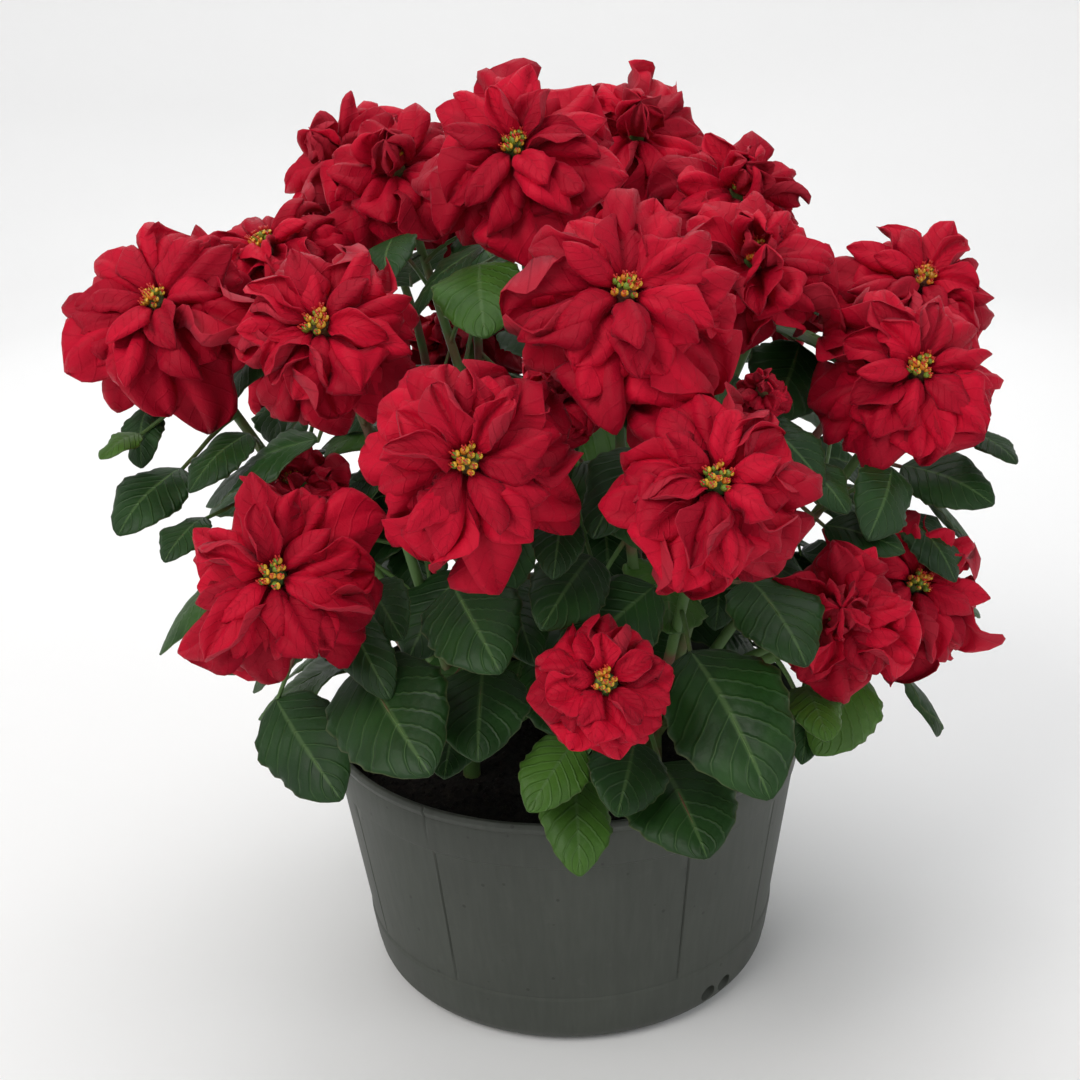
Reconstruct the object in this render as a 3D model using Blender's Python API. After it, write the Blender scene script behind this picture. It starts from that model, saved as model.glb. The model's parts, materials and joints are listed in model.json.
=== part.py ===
"""A potted poinsettia with curly bracts: pot, soil, five leafy plants, red heads and their small flowers.

Metres, +Z up. The origin is the middle of the pot's underside, and the plant faces -Y.
Places and sizes in the tables are in millimetres, angles in degrees.
A bearing is measured round the pot's axis from the front: 0 is -Y, 90 is +X.
"""
import math
import random

import bmesh
import bpy
from mathutils import Matrix, Vector
from mathutils.bvhtree import BVHTree

MM = 0.001
GAP = 0.0003

# Pot
RIM_RADIUS = 0.150
POT_HEIGHT = 0.165
TAPER = 0.1394
WALL = 0.003
FLOOR = 0.0035
FOOT_RADIUS = 0.112
FOOT_CHAMFER = 0.0065
BELLY_HEIGHT = 0.014
INNER_CORNER = 0.012
EDGE_STEP = 0.0006
LOWER_HOOP_TOP = 0.0366
UPPER_HOOP_BOTTOM = POT_HEIGHT - 0.030
LIP_BOTTOM = POT_HEIGHT - 0.006
HOOP_PROUD = 0.0010
LIP_PROUD = 0.0015
POT_SIDES = 32
GROOVE_BEARINGS = (-62, -32, 28, 58, 118, 148, 208, 238)
GROOVE_WIDTH = 0.0018
GROOVE_DEPTH = 0.0010
DRAIN_BEARINGS = (39.5, 46, 147, 153.5, 253, 259.5)
DRAIN_RADIUS = 0.0055
DRAIN_HEIGHT = 0.0135
DRAIN_BACK = 0.010
DRAIN_FRONT = 0.014
DRAIN_LEAN = 0.60
DRAIN_SIDES = 6

# Soil
SOIL_EDGE_TOP = 0.141
SOIL_MOUND_TOP = 0.146
SOIL_MOUND_RADIUS = 0.085

# Plants: where each main stem stands, as bearing and reach from the pot's axis
PLANTS = ((0, 3), (-48, 78), (42, 78), (132, 78), (-136, 78))
STEM_RADIUS = 0.0055
STEM_SIDES = 6
STEM_ROOT = 0.095
STEM_TOP = 0.188
BRANCH_RADIUS = 0.0031
BRANCH_SIDES = 4
BRANCH_STEPS = 3
THICK_FOOT = 1.25
THINNING = 0.35
STALK_RADIUS = 0.0014
FIRST_BRANCH_DROP = 0.006
BRANCH_DROP = 0.0035
BRANCH_END = 0.004

# Heads: plant, x, y, z of the flowers in its middle, radius, lean from upright, bearing it leans to
HEADS = (
    (1, -215, -50, 440, 61, 46, -8),
    (4, -168, 25, 456, 52, 30, -40),
    (1, -117, -120, 439, 50, 53, -8),
    (4, -138, 130, 494, 54, 44, -40),
    (0, -90, 40, 499, 46, 40, -10),
    (0, -17, -50, 515, 56, 51, -2),
    (0, 56, 100, 508, 48, 46, 5),
    (0, 112, 28, 480, 48, 45, 15),
    (0, 109, -62, 456, 47, 50, 5),
    (2, 34, -170, 461, 59, 50, 5),
    (1, -40, -220, 397, 52, 65, 4),
    (2, 71, -222, 385, 50, 54, 0),
    (1, -135, -202, 338, 51, 58, 5),
    (2, 19, -232, 292, 32, 54, -3),
    (2, 197, -88, 276, 50, 52, 12),
    (2, 139, -168, 294, 38, 55, -8),
    (2, 191, -92, 399, 52, 54, 0),
    (3, 218, 20, 424, 51, 42, 10),
    (1, -150, -52, 335, 25, 45, -40),
    (0, -4, -128, 402, 27, 45, -10),
    (3, 157, 132, 410, 49, 45, 128),
    (3, 66, 216, 362, 48, 50, 164),
    (4, -65, 214, 366, 50, 50, -163),
    (4, -186, 142, 372, 46, 54, -125),
    (3, 42, 176, 456, 45, 30, 165),
    (4, -56, 150, 471, 45, 26, -165),
    (2, 106, -122, 402, 13, 40, 10),
)
LARGE_HEAD = 0.048
SMALL_HEAD = 0.028
BUD_RADIUS = 0.020
BRACTS_ROUND_LARGE = 6
BRACTS_ROUND_MIDDLING = 5
BRACTS_ROUND_SMALL = 4

# The green head that holds the bracts: height under the flowers and radius of each of its rings, in mm
HUB_RINGS = ((-15.0, 4.2), (-12.5, 6.4), (-9.5, 6.8), (-8.5, 6.8), (-5.5, 6.5), (-4.5, 6.3), (-1.5, 5.6),
             (0.0, 4.8))
HUB_DEPTH = 0.015
HUB_SHOULDER = 0.008
HUB_CLEAR_RADII = (0.0050, 0.0120, 0.0080)
HEAD_TWIST = 23

# Rows of bracts from the outside in. For each: the ring of the hub that it starts above, its length and
# width as shares of the head's radius, how steeply a bract rises at its foot and falls at its tip, how far
# it rolls about its midrib, how far it is turned round the head, and how its edges droop
BRACT_ROWS = (
    (1, 1.30, 0.80, 4, -84, 16, 0, 0.15),
    (3, 0.94, 0.60, 24, -50, 14, 30, 0.14),
    (5, 0.60, 0.36, 58, -50, 12, 8, 0.08),
)
BRACT_THICKNESS = 0.0016
BRACT_STOPS = ((0.33, 0.58), (0.68, 1.0))
INNER_BRACT_STOPS = ((0.58, 1.0),)
PROBE_STOP = (0.14, 0.22)

# More droop in degrees and a share of its size for a bract that would cross another head's, in this order
BRACT_TRIES = (
    (0, 1.0), (12, 0.97), (-8, 0.97), (24, 0.92), (10, 0.84), (30, 0.78), (16, 0.68), (34, 0.60), (8, 0.50),
    (30, 0.42), (0, 0.34),
)

# Leaves that the front shows: plant, x, y, z of the foot of the blade, x, y, z of its tip, width
FRONT_LEAVES = (
    (1, -105, -150, 265, -65, -228, 243, 62),
    (1, -152, -146, 245, -110, -200, 222, 50),
    (1, -42, -138, 257, -44, -198, 233, 50),
    (1, -58, -128, 222, -64, -170, 208, 32),
    (2, 5, -163, 225, -20, -202, 206, 34),
    (2, 4, -150, 200, 5, -203, 168, 38),
    (2, 36, -158, 220, 24, -212, 208, 42),
    (2, 50, -152, 203, 68, -218, 186, 58),
    (2, 65, -160, 272, 96, -234, 228, 62),
    (2, 96, -146, 296, 116, -216, 278, 46),
    (2, 125, -150, 245, 131, -188, 233, 30),
    (2, 165, -94, 226, 131, -156, 208, 44),
    (2, 130, -122, 221, 124, -157, 203, 22),
    (0, 16, -148, 321, -10, -206, 298, 40),
    (2, 48, -142, 301, -6, -202, 292, 44),
    (1, -55, -146, 306, -30, -212, 288, 50),
    (1, -26, -142, 301, -14, -186, 279, 28),
    (1, -110, -150, 302, -90, -206, 279, 32),
    (1, -100, -126, 301, -80, -170, 288, 30),
    (1, -194, -128, 312, -200, -168, 278, 28),
    (1, -214, -44, 342, -242, -86, 318, 44),
    (1, -194, -84, 326, -210, -116, 313, 26),
    (1, -235, -20, 381, -230, -54, 352, 34),
    (1, -236, -40, 376, -260, -68, 366, 30),
    (1, -172, -50, 371, -202, -87, 348, 38),
    (1, -105, -108, 396, -125, -147, 363, 32),
    (0, -70, -90, 436, -55, -136, 419, 28),
    (2, 40, -148, 377, 9, -202, 364, 38),
    (1, 2, -176, 364, -4, -208, 340, 26),
    (2, 85, -118, 401, 55, -162, 395, 32),
    (2, 178, -96, 346, 157, -140, 322, 34),
    (2, 195, -48, 331, 238, -82, 318, 40),
    (2, 195, -58, 306, 216, -96, 279, 34),
    (2, 140, -114, 321, 180, -135, 320, 28),
    (3, 160, -8, 416, 134, -56, 389, 34),
    (2, 105, -108, 386, 136, -151, 364, 36),
    (2, 124, -108, 356, 145, -146, 339, 30),
    (2, 232, -50, 350, 250, -78, 340, 26),
    (2, 40, -148, 417, 41, -192, 398, 34),
    (0, -38, -52, 462, -34, -116, 434, 50),
    (0, -90, 12, 467, -90, -38, 448, 38),
    (0, 30, -4, 476, 41, -42, 444, 30),
)

# Leaves that follow a rule: shares of the branch at which they stand, and their lengths
LEAF_STATIONS = ((0.48, 88), (0.68, 78), (0.83, 62))
LEAF_TURNS = (0, 55, -55, 110)
FACES_FRONT = 0.7
FRONT_BEARING = 72
FRONT_REACH = 0.165
GOLDEN_ANGLE = 137.5

# Leaves that fill the sides, the back and the shade behind the front leaves. For each tier: the bearings of
# its first and last leaf and the step between them, reach and height of a leaf's foot, reach and height of
# its tip, and its width
TIERS = (
    (96, 264, 21, 120, 198, 192, 146, 62),
    (86, 276, 19, 126, 250, 204, 204, 60),
    (104, 258, 22, 134, 300, 208, 256, 56),
    (-80, 80, 20, 62, 232, 128, 206, 64),
    (-88, 88, 22, 84, 282, 150, 262, 62),
    (-78, 90, 24, 88, 338, 150, 322, 58),
    (-108, -72, 18, 150, 262, 214, 226, 56),
    (-112, -76, 18, 156, 318, 220, 290, 54),
    (72, 108, 18, 150, 256, 214, 218, 56),
    (70, 106, 18, 158, 310, 222, 280, 54),
    (94, 266, 19, 86, 326, 160, 312, 62),
    (84, 276, 21, 92, 378, 162, 366, 56),
    (-70, 74, 24, 34, 296, 100, 270, 64),
    (-66, 70, 26, 52, 372, 112, 356, 50),
)
FACES_OUT = 0.9
LEAF_WIDTH_SHARE = 0.66
LEAF_THICKNESS = 0.0013
LEAF_BOW = 22
LEAF_ROLL = 11
LEAF_STOPS = ((0.17, 0.76), (0.50, 1.0), (0.82, 0.66))
LEAST_STALK = 0.012
STALK_REACH = 0.095
STALK_CHOICES = 5
STALK_SHARES = (0.10, 0.20, 0.30, 0.40, 0.50, 0.60, 0.68, 0.76, 0.84, 0.90)
LEAST_LEAF_HEIGHT = 0.150
CLEAR_OF_RIM = 0.012
CLEAR_OF_WALL = 0.015
LEAF_TRIES = (
    (0, 0, 1.0, 0), (10, 0, 0.97, 0), (-8, 0, 0.97, 0), (0, 0, 0.95, -8), (0, 0, 0.95, 8), (0, 12, 0.92, 0),
    (0, -12, 0.92, 0), (20, 0, 0.9, 0), (12, 12, 0.85, -8), (12, -12, 0.85, -8), (0, 22, 0.85, 0),
    (0, -22, 0.85, 0), (0, 0, 0.75, -14), (0, 0, 0.75, 14), (30, 0, 0.75, 0), (-18, 0, 0.72, 0),
    (0, 0, 0.6, 0), (20, 20, 0.6, -10), (20, -20, 0.6, -10),
)
CLEARANCE = 0.0009
SEED = 11

# Small flowers: height, radius at a lobe and between two lobes of each ring, and the dip's height, in mm
FLOWER_LOBES = 5
FLOWER_RINGS = ((0.0, 3.2, 2.8), (2.4, 5.6, 3.8), (5.4, 4.8, 2.6))
FLOWER_DIP = 3.8
LEAST_FULL_HEAD = 0.040
SMALL_FLOWERS = 0.8

# Plain finishes: colour and roughness
POT_GREY = (0.070, 0.078, 0.066)
POT_ROUGHNESS = 0.55
PEAT_BROWN = (0.012, 0.010, 0.009)
PEAT_ROUGHNESS = 0.95
LEAF_GREEN = (0.018, 0.058, 0.016)
LEAF_ROUGHNESS = 0.50
BRACT_RED = (0.500, 0.006, 0.022)
BRACT_ROUGHNESS = 0.62
FLOWER_YELLOW = (0.500, 0.300, 0.030)
FLOWER_ROUGHNESS = 0.50


def toward(bearing):
    """Level unit vector that points to a bearing."""
    angle = math.radians(bearing)
    return Vector((math.sin(angle), -math.cos(angle), 0.0))


def millimetres(x, y, z):
    return Vector((x, y, z)) * MM


def across(direction, wanted):
    """Unit vector nearest to the wanted one that is square to a direction."""
    return (wanted - direction * wanted.dot(direction)).normalized()


def bezier(a, b, c, d, t):
    s = 1.0 - t
    return a * s ** 3 + b * (3 * s * s * t) + c * (3 * s * t * t) + d * t ** 3


class Blade:
    """A bract or leaf blade: where it starts, how it arches, and how wide it is along its length."""

    def __init__(self, foot, out, up, length, width, rise, fall, roll, cup, thickness, stops, phase):
        self.foot = foot
        self.out = out
        self.up = across(out, up)
        self.length = length
        self.width = width
        self.rise = math.radians(rise)
        self.fall = math.radians(fall)
        self.roll = math.radians(roll)
        self.cup = cup
        self.thickness = thickness
        self.stops = stops
        self.phase = phase

    def spine(self, t):
        """Point on the midrib, with the directions along, across and out of the blade there."""
        bend = self.fall - self.rise
        slope = self.rise + bend * t
        ahead = self.length * (math.sin(slope) - math.sin(self.rise)) / bend
        above = -self.length * (math.cos(slope) - math.cos(self.rise)) / bend
        place = self.foot + self.out * ahead + self.up * above
        along = self.out * math.cos(slope) + self.up * math.sin(slope)
        side = self.out.cross(self.up).normalized()
        turn = Matrix.Rotation(self.roll * min(1.0, 2.0 * t), 3, along)
        side = turn @ side
        return place, side, side.cross(along).normalized()

    def ring(self, number, t, share, swell):
        """Left, top, right and lower point of the blade at a stop along it."""
        place, side, normal = self.spine(t)
        half = 0.5 * self.width * share + swell
        thick = 0.5 * self.thickness + swell
        drop = self.cup * self.width * share
        wave = 0.05 * self.width * share * math.cos(self.phase + 2.4 * number)
        return [place - side * half - normal * (drop + wave), place + normal * thick,
                place + side * half - normal * (drop - wave), place - normal * thick]

    def rings(self, swell=0.0):
        return [self.ring(number, t, share, swell) for number, (t, share) in enumerate(self.stops)]

    def tip(self):
        return self.spine(1.0)[0]

    def probe(self):
        """The blade without its foot, a little larger than life, to test whether it crosses anything."""
        return skin([self.ring(0, *PROBE_STOP, CLEARANCE)] + self.rings(CLEARANCE), self.tip())

    def solid(self):
        return skin([self.ring(0, *PROBE_STOP, 0.0)] + self.rings(), self.tip())


def ring_faces(first, second):
    """Triangles between two rings of four point numbers. Both faces of a blade are split the same way."""
    left, top, right, under = first
    next_left, next_top, next_right, next_under = second
    return [(left, top, next_top), (left, next_top, next_left),
            (top, right, next_right), (top, next_right, next_top),
            (under, next_under, next_right), (under, next_right, right),
            (left, next_left, next_under), (left, next_under, under)]


def blade_faces(foot, first, count, tip):
    """Triangles from a foot ring, through rings numbered in fours from first on, to the tip."""
    faces = []
    ring = foot
    for number in range(count):
        following = tuple(range(first + 4 * number, first + 4 * number + 4))
        faces += ring_faces(ring, following)
        ring = following
    left, top, right, under = ring
    faces += [(left, top, tip), (top, right, tip), (right, under, tip), (under, left, tip)]
    return faces


def skin(rings, tip):
    """Points and triangles of a closed blade from its rings and tip."""
    points = [point for ring in rings for point in ring] + [tip]
    faces = [(0, 2, 1), (0, 3, 2)]
    faces += blade_faces((0, 1, 2, 3), 4, len(rings) - 1, len(points) - 1)
    return points, faces


def tube(path, radii, sides):
    """Points and triangles of a closed tube along a path, square to it at both ends."""
    points = []
    faces = []
    level = Vector((0.31, 0.95, 0.05))
    for number, place in enumerate(path):
        before = path[max(0, number - 1)]
        after = path[min(len(path) - 1, number + 1)]
        along = (after - before).normalized()
        level = across(along, level)
        other = along.cross(level)
        for corner in range(sides):
            angle = 2 * math.pi * corner / sides
            offset = level * math.cos(angle) + other * math.sin(angle)
            points.append(place + offset * radii[number])
    for ring in range(len(path) - 1):
        for corner in range(sides):
            a = ring * sides + corner
            b = ring * sides + (corner + 1) % sides
            faces += [(a, b, b + sides), (a, b + sides, a + sides)]
    last = (len(path) - 1) * sides
    for corner in range(1, sides - 1):
        faces.append((0, corner + 1, corner))
        faces.append((last, last + corner, last + corner + 1))
    return points, faces


class Head:
    """A red head: the place of its flowers, its axis, and the branch that carries it."""

    def __init__(self, number, row):
        plant, x, y, z, radius, lean, bearing = row
        self.number = number
        self.plant = plant
        self.place = millimetres(x, y, z)
        self.radius = radius * MM
        tilt = math.radians(lean)
        self.axis = toward(bearing) * math.sin(tilt) + Vector((0, 0, 1)) * math.cos(tilt)
        self.level = across(self.axis, toward(bearing))
        self.bud = self.radius < BUD_RADIUS
        self.sides = BRACTS_ROUND_LARGE if self.radius >= LARGE_HEAD else BRACTS_ROUND_MIDDLING
        if self.radius < SMALL_HEAD:
            self.sides = BRACTS_ROUND_SMALL
        self.scale = 0.6 if self.bud else 1.0
        self.name = "bud" if self.bud else "head_%02d" % number

    def spoke(self, bearing):
        """Direction square to the axis, at an angle round it."""
        return Matrix.Rotation(math.radians(bearing), 3, self.axis) @ self.level


def stem_foot(plant):
    bearing, reach = PLANTS[plant]
    return toward(bearing) * reach * MM


def branch_path(head, order):
    """Points on the branch from the plant's main stem up to just under the head."""
    start = stem_foot(head.plant) + Vector((0, 0, STEM_TOP - FIRST_BRANCH_DROP - BRANCH_DROP * order))
    end = head.place - head.axis * (HUB_DEPTH + GAP)
    span = (end - start).length
    outward = Vector((end.x - start.x, end.y - start.y, 0.0)) / span
    first = start + (outward * 0.8 + Vector((0, 0, 0.75))).normalized() * span * 0.36
    second = end - head.axis * span * 0.34
    path = [bezier(start, first, second, end, step / BRANCH_STEPS) for step in range(BRANCH_STEPS)]
    path.append(end - head.axis * BRANCH_END)
    path.append(end)
    return path


def along_path(path, share):
    """Point at a share of the length of a path."""
    left = share * sum((b - a).length for a, b in zip(path, path[1:]))
    for a, b in zip(path, path[1:]):
        span = (b - a).length
        if left <= span:
            return a.lerp(b, left / span)
        left -= span
    return path[-1]


class Obstacles:
    """What is already placed, so that a new blade can be tested against every other node."""

    def __init__(self):
        self.items = []

    def add(self, node, points, faces):
        middle = sum(points, Vector()) / len(points)
        reach = max((point - middle).length for point in points)
        self.items.append((node, middle, reach, BVHTree.FromPolygons(points, faces)))

    def hit(self, allowed, points, faces):
        """True where a solid crosses any piece apart from the allowed one."""
        middle = sum(points, Vector()) / len(points)
        reach = max((point - middle).length for point in points)
        tree = BVHTree.FromPolygons(points, faces)
        for other, centre, size, branch in self.items:
            near = (centre - middle).length < reach + size
            if other != allowed and near and tree.overlap(branch):
                return True
        return False


def hub_points(head):
    """Rings of points round the green head, one for each of HUB_RINGS."""
    points = []
    for height, radius in HUB_RINGS:
        centre = head.place + head.axis * height * MM
        for corner in range(head.sides):
            spoke = head.spoke(360.0 * (corner - 0.5) / head.sides + HEAD_TWIST * head.number)
            points.append(centre + spoke * radius * head.scale * MM)
    return points


def hub_solid(head):
    """The green head by itself, to keep other nodes clear of it."""
    ends = [head.place - head.axis * HUB_DEPTH, head.place - head.axis * HUB_SHOULDER, head.place]
    return tube(ends, HUB_CLEAR_RADII, head.sides)


def bract(head, row, number, droop, shrink):
    """One bract of a head, as a blade."""
    ring, length, width, rise, fall, roll, offset, cup = BRACT_ROWS[row]
    chance = random.Random(SEED + 1000 * row + 40 * head.number + number)
    turn = 360.0 * number / head.sides + HEAD_TWIST * head.number + offset + 6 * (chance.random() - 0.5)
    spoke = head.spoke(turn)
    scale = head.radius * shrink
    depth = 0.5 * (HUB_RINGS[ring][0] + HUB_RINGS[ring + 1][0]) * MM
    foot = head.place + head.axis * depth + spoke * HUB_RINGS[ring][1] * 0.7 * head.scale * MM
    stops = INNER_BRACT_STOPS if ring == 5 else BRACT_STOPS
    vary = 1.0 + 0.12 * (chance.random() - 0.5)
    lean = 7 * (chance.random() - 0.5)
    phase = chance.random() * 6.28
    return Blade(foot, spoke, head.axis, scale * length * vary, scale * width * 6 / head.sides,
                 rise + lean - 0.4 * droop, fall + lean - droop, roll, cup, BRACT_THICKNESS, stops, phase)


def place_bracts(heads, taken):
    """Bracts of every head, inner rows first, each drooped or shortened until it clears all the others."""
    placed = {}
    for row in reversed(range(len(BRACT_ROWS))):
        for head in heads:
            for number in range(head.sides):
                for droop, shrink in BRACT_TRIES:
                    blade = bract(head, row, number, droop, shrink)
                    if not taken.hit(head.name, *blade.probe()):
                        break
                placed[head.name, row, number] = blade
                taken.add(head.name + "_bract", *blade.solid())
    return placed


def head_solid(head, bracts):
    """The whole head in one skin: each bract grows out of its own face of the green hub."""
    points = hub_points(head)
    faces = []
    sides = head.sides
    rows = {values[0]: row for row, values in enumerate(BRACT_ROWS)}
    for ring in range(len(HUB_RINGS) - 1):
        for corner in range(sides):
            low = ring * sides + corner
            low_next = ring * sides + (corner + 1) % sides
            foot = (low_next + sides, low + sides, low, low_next)
            if ring not in rows:
                faces += [(foot[0], foot[1], foot[2]), (foot[0], foot[2], foot[3])]
                continue
            blade = bracts[head.name, rows[ring], corner]
            rings = blade.rings()
            first = len(points)
            points += [point for four in rings for point in four] + [blade.tip()]
            faces += blade_faces(foot, first, len(rings), len(points) - 1)
    last = (len(HUB_RINGS) - 1) * sides
    for corner in range(1, sides - 1):
        faces.append((0, corner + 1, corner))
        faces.append((last, last + corner, last + corner + 1))
    return points, faces


def leaf(foot, tip, width, roll, phase, facing):
    """A leaf blade from its foot to its tip, bowed up between them, whose upper side looks up and facing."""
    out = (tip - foot).normalized()
    level = Vector((foot.x + tip.x, foot.y + tip.y, 0.0)).normalized()
    up = across(out, level * 0.45 + facing + Vector((0, 0, 1.0)))
    angle = math.radians(LEAF_BOW)
    length = (tip - foot).length * angle / math.sin(angle)
    return Blade(foot, out, up, length, width, LEAF_BOW, -LEAF_BOW, roll, 0.07, LEAF_THICKNESS, LEAF_STOPS,
                 phase)


def stalk_starts(blade, paths):
    """Points of the branches where the stalk of a leaf could start, nearest first."""
    points = [along_path(path, share) for path in paths for share in STALK_SHARES]
    fitting = [point for point in points
               if LEAST_STALK < (point - blade.foot).length < STALK_REACH and bends_gently(point, blade)]
    return sorted(fitting, key=lambda point: (point - blade.foot).length)[:STALK_CHOICES]


def stalk_ring(place, ahead, blade, radius):
    """Four points round a stalk, square to the way it runs and turned as the blade is."""
    side = across(ahead, blade.out.cross(blade.up))
    rise = side.cross(ahead)
    return [place - side * radius, place + rise * radius, place + side * radius, place - rise * radius]


def leaf_solid(start, blade, swell=0.0):
    """A leaf with its stalk, in one skin that starts inside the branch."""
    ahead = (blade.foot - start).normalized()
    turn = (ahead + blade.out).normalized()
    rings = [stalk_ring(start, ahead, blade, STALK_RADIUS + swell),
             stalk_ring(blade.foot, turn, blade, STALK_RADIUS * 0.8 + swell)]
    return skin(rings + blade.rings(swell), blade.tip())


def bends_gently(start, blade):
    """True where the stalk neither doubles back nor runs sideways into the blade."""
    ahead = (blade.foot - start).normalized()
    return ahead.dot(blade.out) > 0.1 and abs(ahead.dot(blade.out.cross(blade.up))) < 0.9


def leaf_tries(foot, tip, width):
    """The wanted leaf first, then lower, shorter, shifted and turned versions of it."""
    span = tip - foot
    side = span.cross(Vector((0, 0, 1))).normalized()
    for lower, turn, shrink, shift in LEAF_TRIES:
        moved = Matrix.Rotation(math.radians(-lower), 3, side) @ (span * shrink)
        moved = Matrix.Rotation(math.radians(turn), 3, "Z") @ moved
        start = foot + Vector((0, 0, shift * MM))
        yield start, start + moved, width * shrink


def add_leaf(plant, foot, tip, width, facing, paths, taken, leaves, chance):
    """Put a leaf on the nearest of some branches, if one of its versions clears everything else."""
    node = "plant_%d" % (plant + 1)
    roll = chance.uniform(-LEAF_ROLL, LEAF_ROLL)
    phase = chance.uniform(0, 2 * math.pi)
    for base, end, wide in leaf_tries(foot, tip, width):
        blade = leaf(base, end, wide, roll, phase, facing)
        for start in stalk_starts(blade, paths):
            solid = leaf_solid(start, blade, CLEARANCE)
            clear = min(point.z for point in solid[0]) > LEAST_LEAF_HEIGHT
            if clear and not taken.hit(node, *solid):
                leaves[plant].append((blade, start))
                taken.add(node + "_leaf", *leaf_solid(start, blade))
                return True
    return False


def over_pot(point):
    """True where a point is inside the rim or well above it, so that a leaf there clears the pot."""
    reach = math.hypot(point.x, point.y)
    return point.z > POT_HEIGHT + CLEAR_OF_RIM or reach > RIM_RADIUS + CLEAR_OF_WALL


def in_front(point):
    """True where a leaf that follows the rule would cover what the front shows."""
    bearing = math.degrees(math.atan2(point.x, -point.y))
    return abs(bearing) < FRONT_BEARING and math.hypot(point.x, point.y) > FRONT_REACH


def nearest_plant(bearing):
    """The plant whose main stem stands nearest to a bearing, apart from the middle one."""
    return max(range(1, len(PLANTS)), key=lambda plant: toward(bearing).dot(toward(PLANTS[plant][0])))


def place_front_leaves(branches, taken, leaves, chance):
    for plant, x, y, z, tip_x, tip_y, tip_z, width in FRONT_LEAVES:
        add_leaf(plant, millimetres(x, y, z), millimetres(tip_x, tip_y, tip_z), width * MM,
                 toward(0) * FACES_FRONT, branches[plant], taken, leaves, chance)


def place_tiers(branches, taken, leaves, chance):
    """The leaves that hang over the rim at the sides and the back, in tiers."""
    for first, last, step, foot_reach, foot_height, tip_reach, tip_height, width in TIERS:
        for bearing in range(first, last + 1, step):
            turned_to = bearing + chance.uniform(-5, 5)
            foot = toward(turned_to) * foot_reach * MM + Vector((0, 0, foot_height * MM))
            tip = toward(turned_to + chance.uniform(-8, 8)) * tip_reach * MM + Vector((0, 0, tip_height * MM))
            plant = nearest_plant(bearing)
            add_leaf(plant, foot, tip, width * MM, toward(bearing) * FACES_OUT, branches[plant], taken,
                     leaves, chance)


def place_branch_leaves(heads, paths, taken, leaves, chance):
    """Leaves that stand round each branch, one at each station."""
    for station, (share, length) in enumerate(LEAF_STATIONS):
        for head in heads:
            path = paths[head.name]
            start = along_path(path, share)
            ahead = (along_path(path, min(1.0, share + 0.05)) - along_path(path, share - 0.05)).normalized()
            outward = Vector((start.x, start.y, 0.0)).normalized()
            first_turn = head.number * 61 + station * GOLDEN_ANGLE + chance.uniform(-20, 20)
            for turn in LEAF_TURNS:
                spoke = Matrix.Rotation(math.radians(first_turn + turn), 3, ahead) @ across(ahead, head.level)
                reach = (spoke + outward * 0.7 + Vector((0, 0, -0.15))).normalized()
                foot = start + (reach + ahead * 0.45).normalized() * length * 0.42 * MM
                tip = foot + (reach + Vector((0, 0, -0.42))).normalized() * length * MM
                fits = over_pot(tip) and not in_front(tip)
                if fits and add_leaf(head.plant, foot, tip, length * LEAF_WIDTH_SHARE * MM, Vector(), [path],
                                     taken, leaves, chance):
                    break


def place_leaves(heads, paths, taken):
    """Leaves of every plant, each as its blade and the point of a branch where its stalk starts."""
    leaves = {plant: [] for plant in range(len(PLANTS))}
    branches = {plant: [paths[head.name] for head in heads if head.plant == plant] for plant in leaves}
    chance = random.Random(SEED)
    place_front_leaves(branches, taken, leaves, chance)
    place_tiers(branches, taken, leaves, chance)
    place_branch_leaves(heads, paths, taken, leaves, chance)
    return leaves


def flower_solid(head):
    """Cluster of small flowers: five lobes round a dip, a few tenths of a millimetre above the head."""
    scale = head.scale * (SMALL_FLOWERS if head.radius < LEAST_FULL_HEAD else 1.0)
    points = []
    faces = []
    lobes = 2 * FLOWER_LOBES
    for height, peak, valley in FLOWER_RINGS:
        centre = head.place + head.axis * (GAP + height * scale * MM)
        for corner in range(lobes):
            radius = valley if corner % 2 else peak
            points.append(centre + head.spoke(360.0 * corner / lobes) * radius * scale * MM)
    for ring in range(len(FLOWER_RINGS) - 1):
        for corner in range(lobes):
            a = ring * lobes + corner
            b = ring * lobes + (corner + 1) % lobes
            faces += [(a, b, b + lobes), (a, b + lobes, a + lobes)]
    last = (len(FLOWER_RINGS) - 1) * lobes
    points.append(head.place + head.axis * (GAP + FLOWER_DIP * scale * MM))
    for corner in range(lobes):
        faces.append((last + corner, last + (corner + 1) % lobes, len(points) - 1))
        if 0 < corner < lobes - 1:
            faces.append((0, corner + 1, corner))
    return points, faces


def layout():
    """Everything that grows: heads, branches, bracts and leaves, with nothing crossing another node."""
    heads = [Head(number, row) for number, row in enumerate(HEADS, 1)]
    taken = Obstacles()
    paths = {}
    for plant in range(len(PLANTS)):
        own = sorted((head for head in heads if head.plant == plant), key=lambda head: head.place.z)
        for order, head in enumerate(own):
            paths[head.name] = branch_path(head, order)
            taken.add("plant_%d" % (plant + 1), *branch_solid(paths[head.name]))
        taken.add("plant_%d" % (plant + 1), *stem_solid(plant))
    for head in heads:
        taken.add(head.name, *hub_solid(head))
        if not head.bud:
            taken.add("flowers_%02d" % head.number, *flower_solid(head))
    bracts = place_bracts(heads, taken)
    leaves = place_leaves(heads, paths, taken)
    return heads, paths, bracts, leaves


def branch_solid(path):
    """Branch that thins towards its head."""
    steps = len(path) - 1
    radii = [BRANCH_RADIUS * (THICK_FOOT - THINNING * step / steps) for step in range(steps + 1)]
    return tube(path, radii, BRANCH_SIDES)


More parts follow.
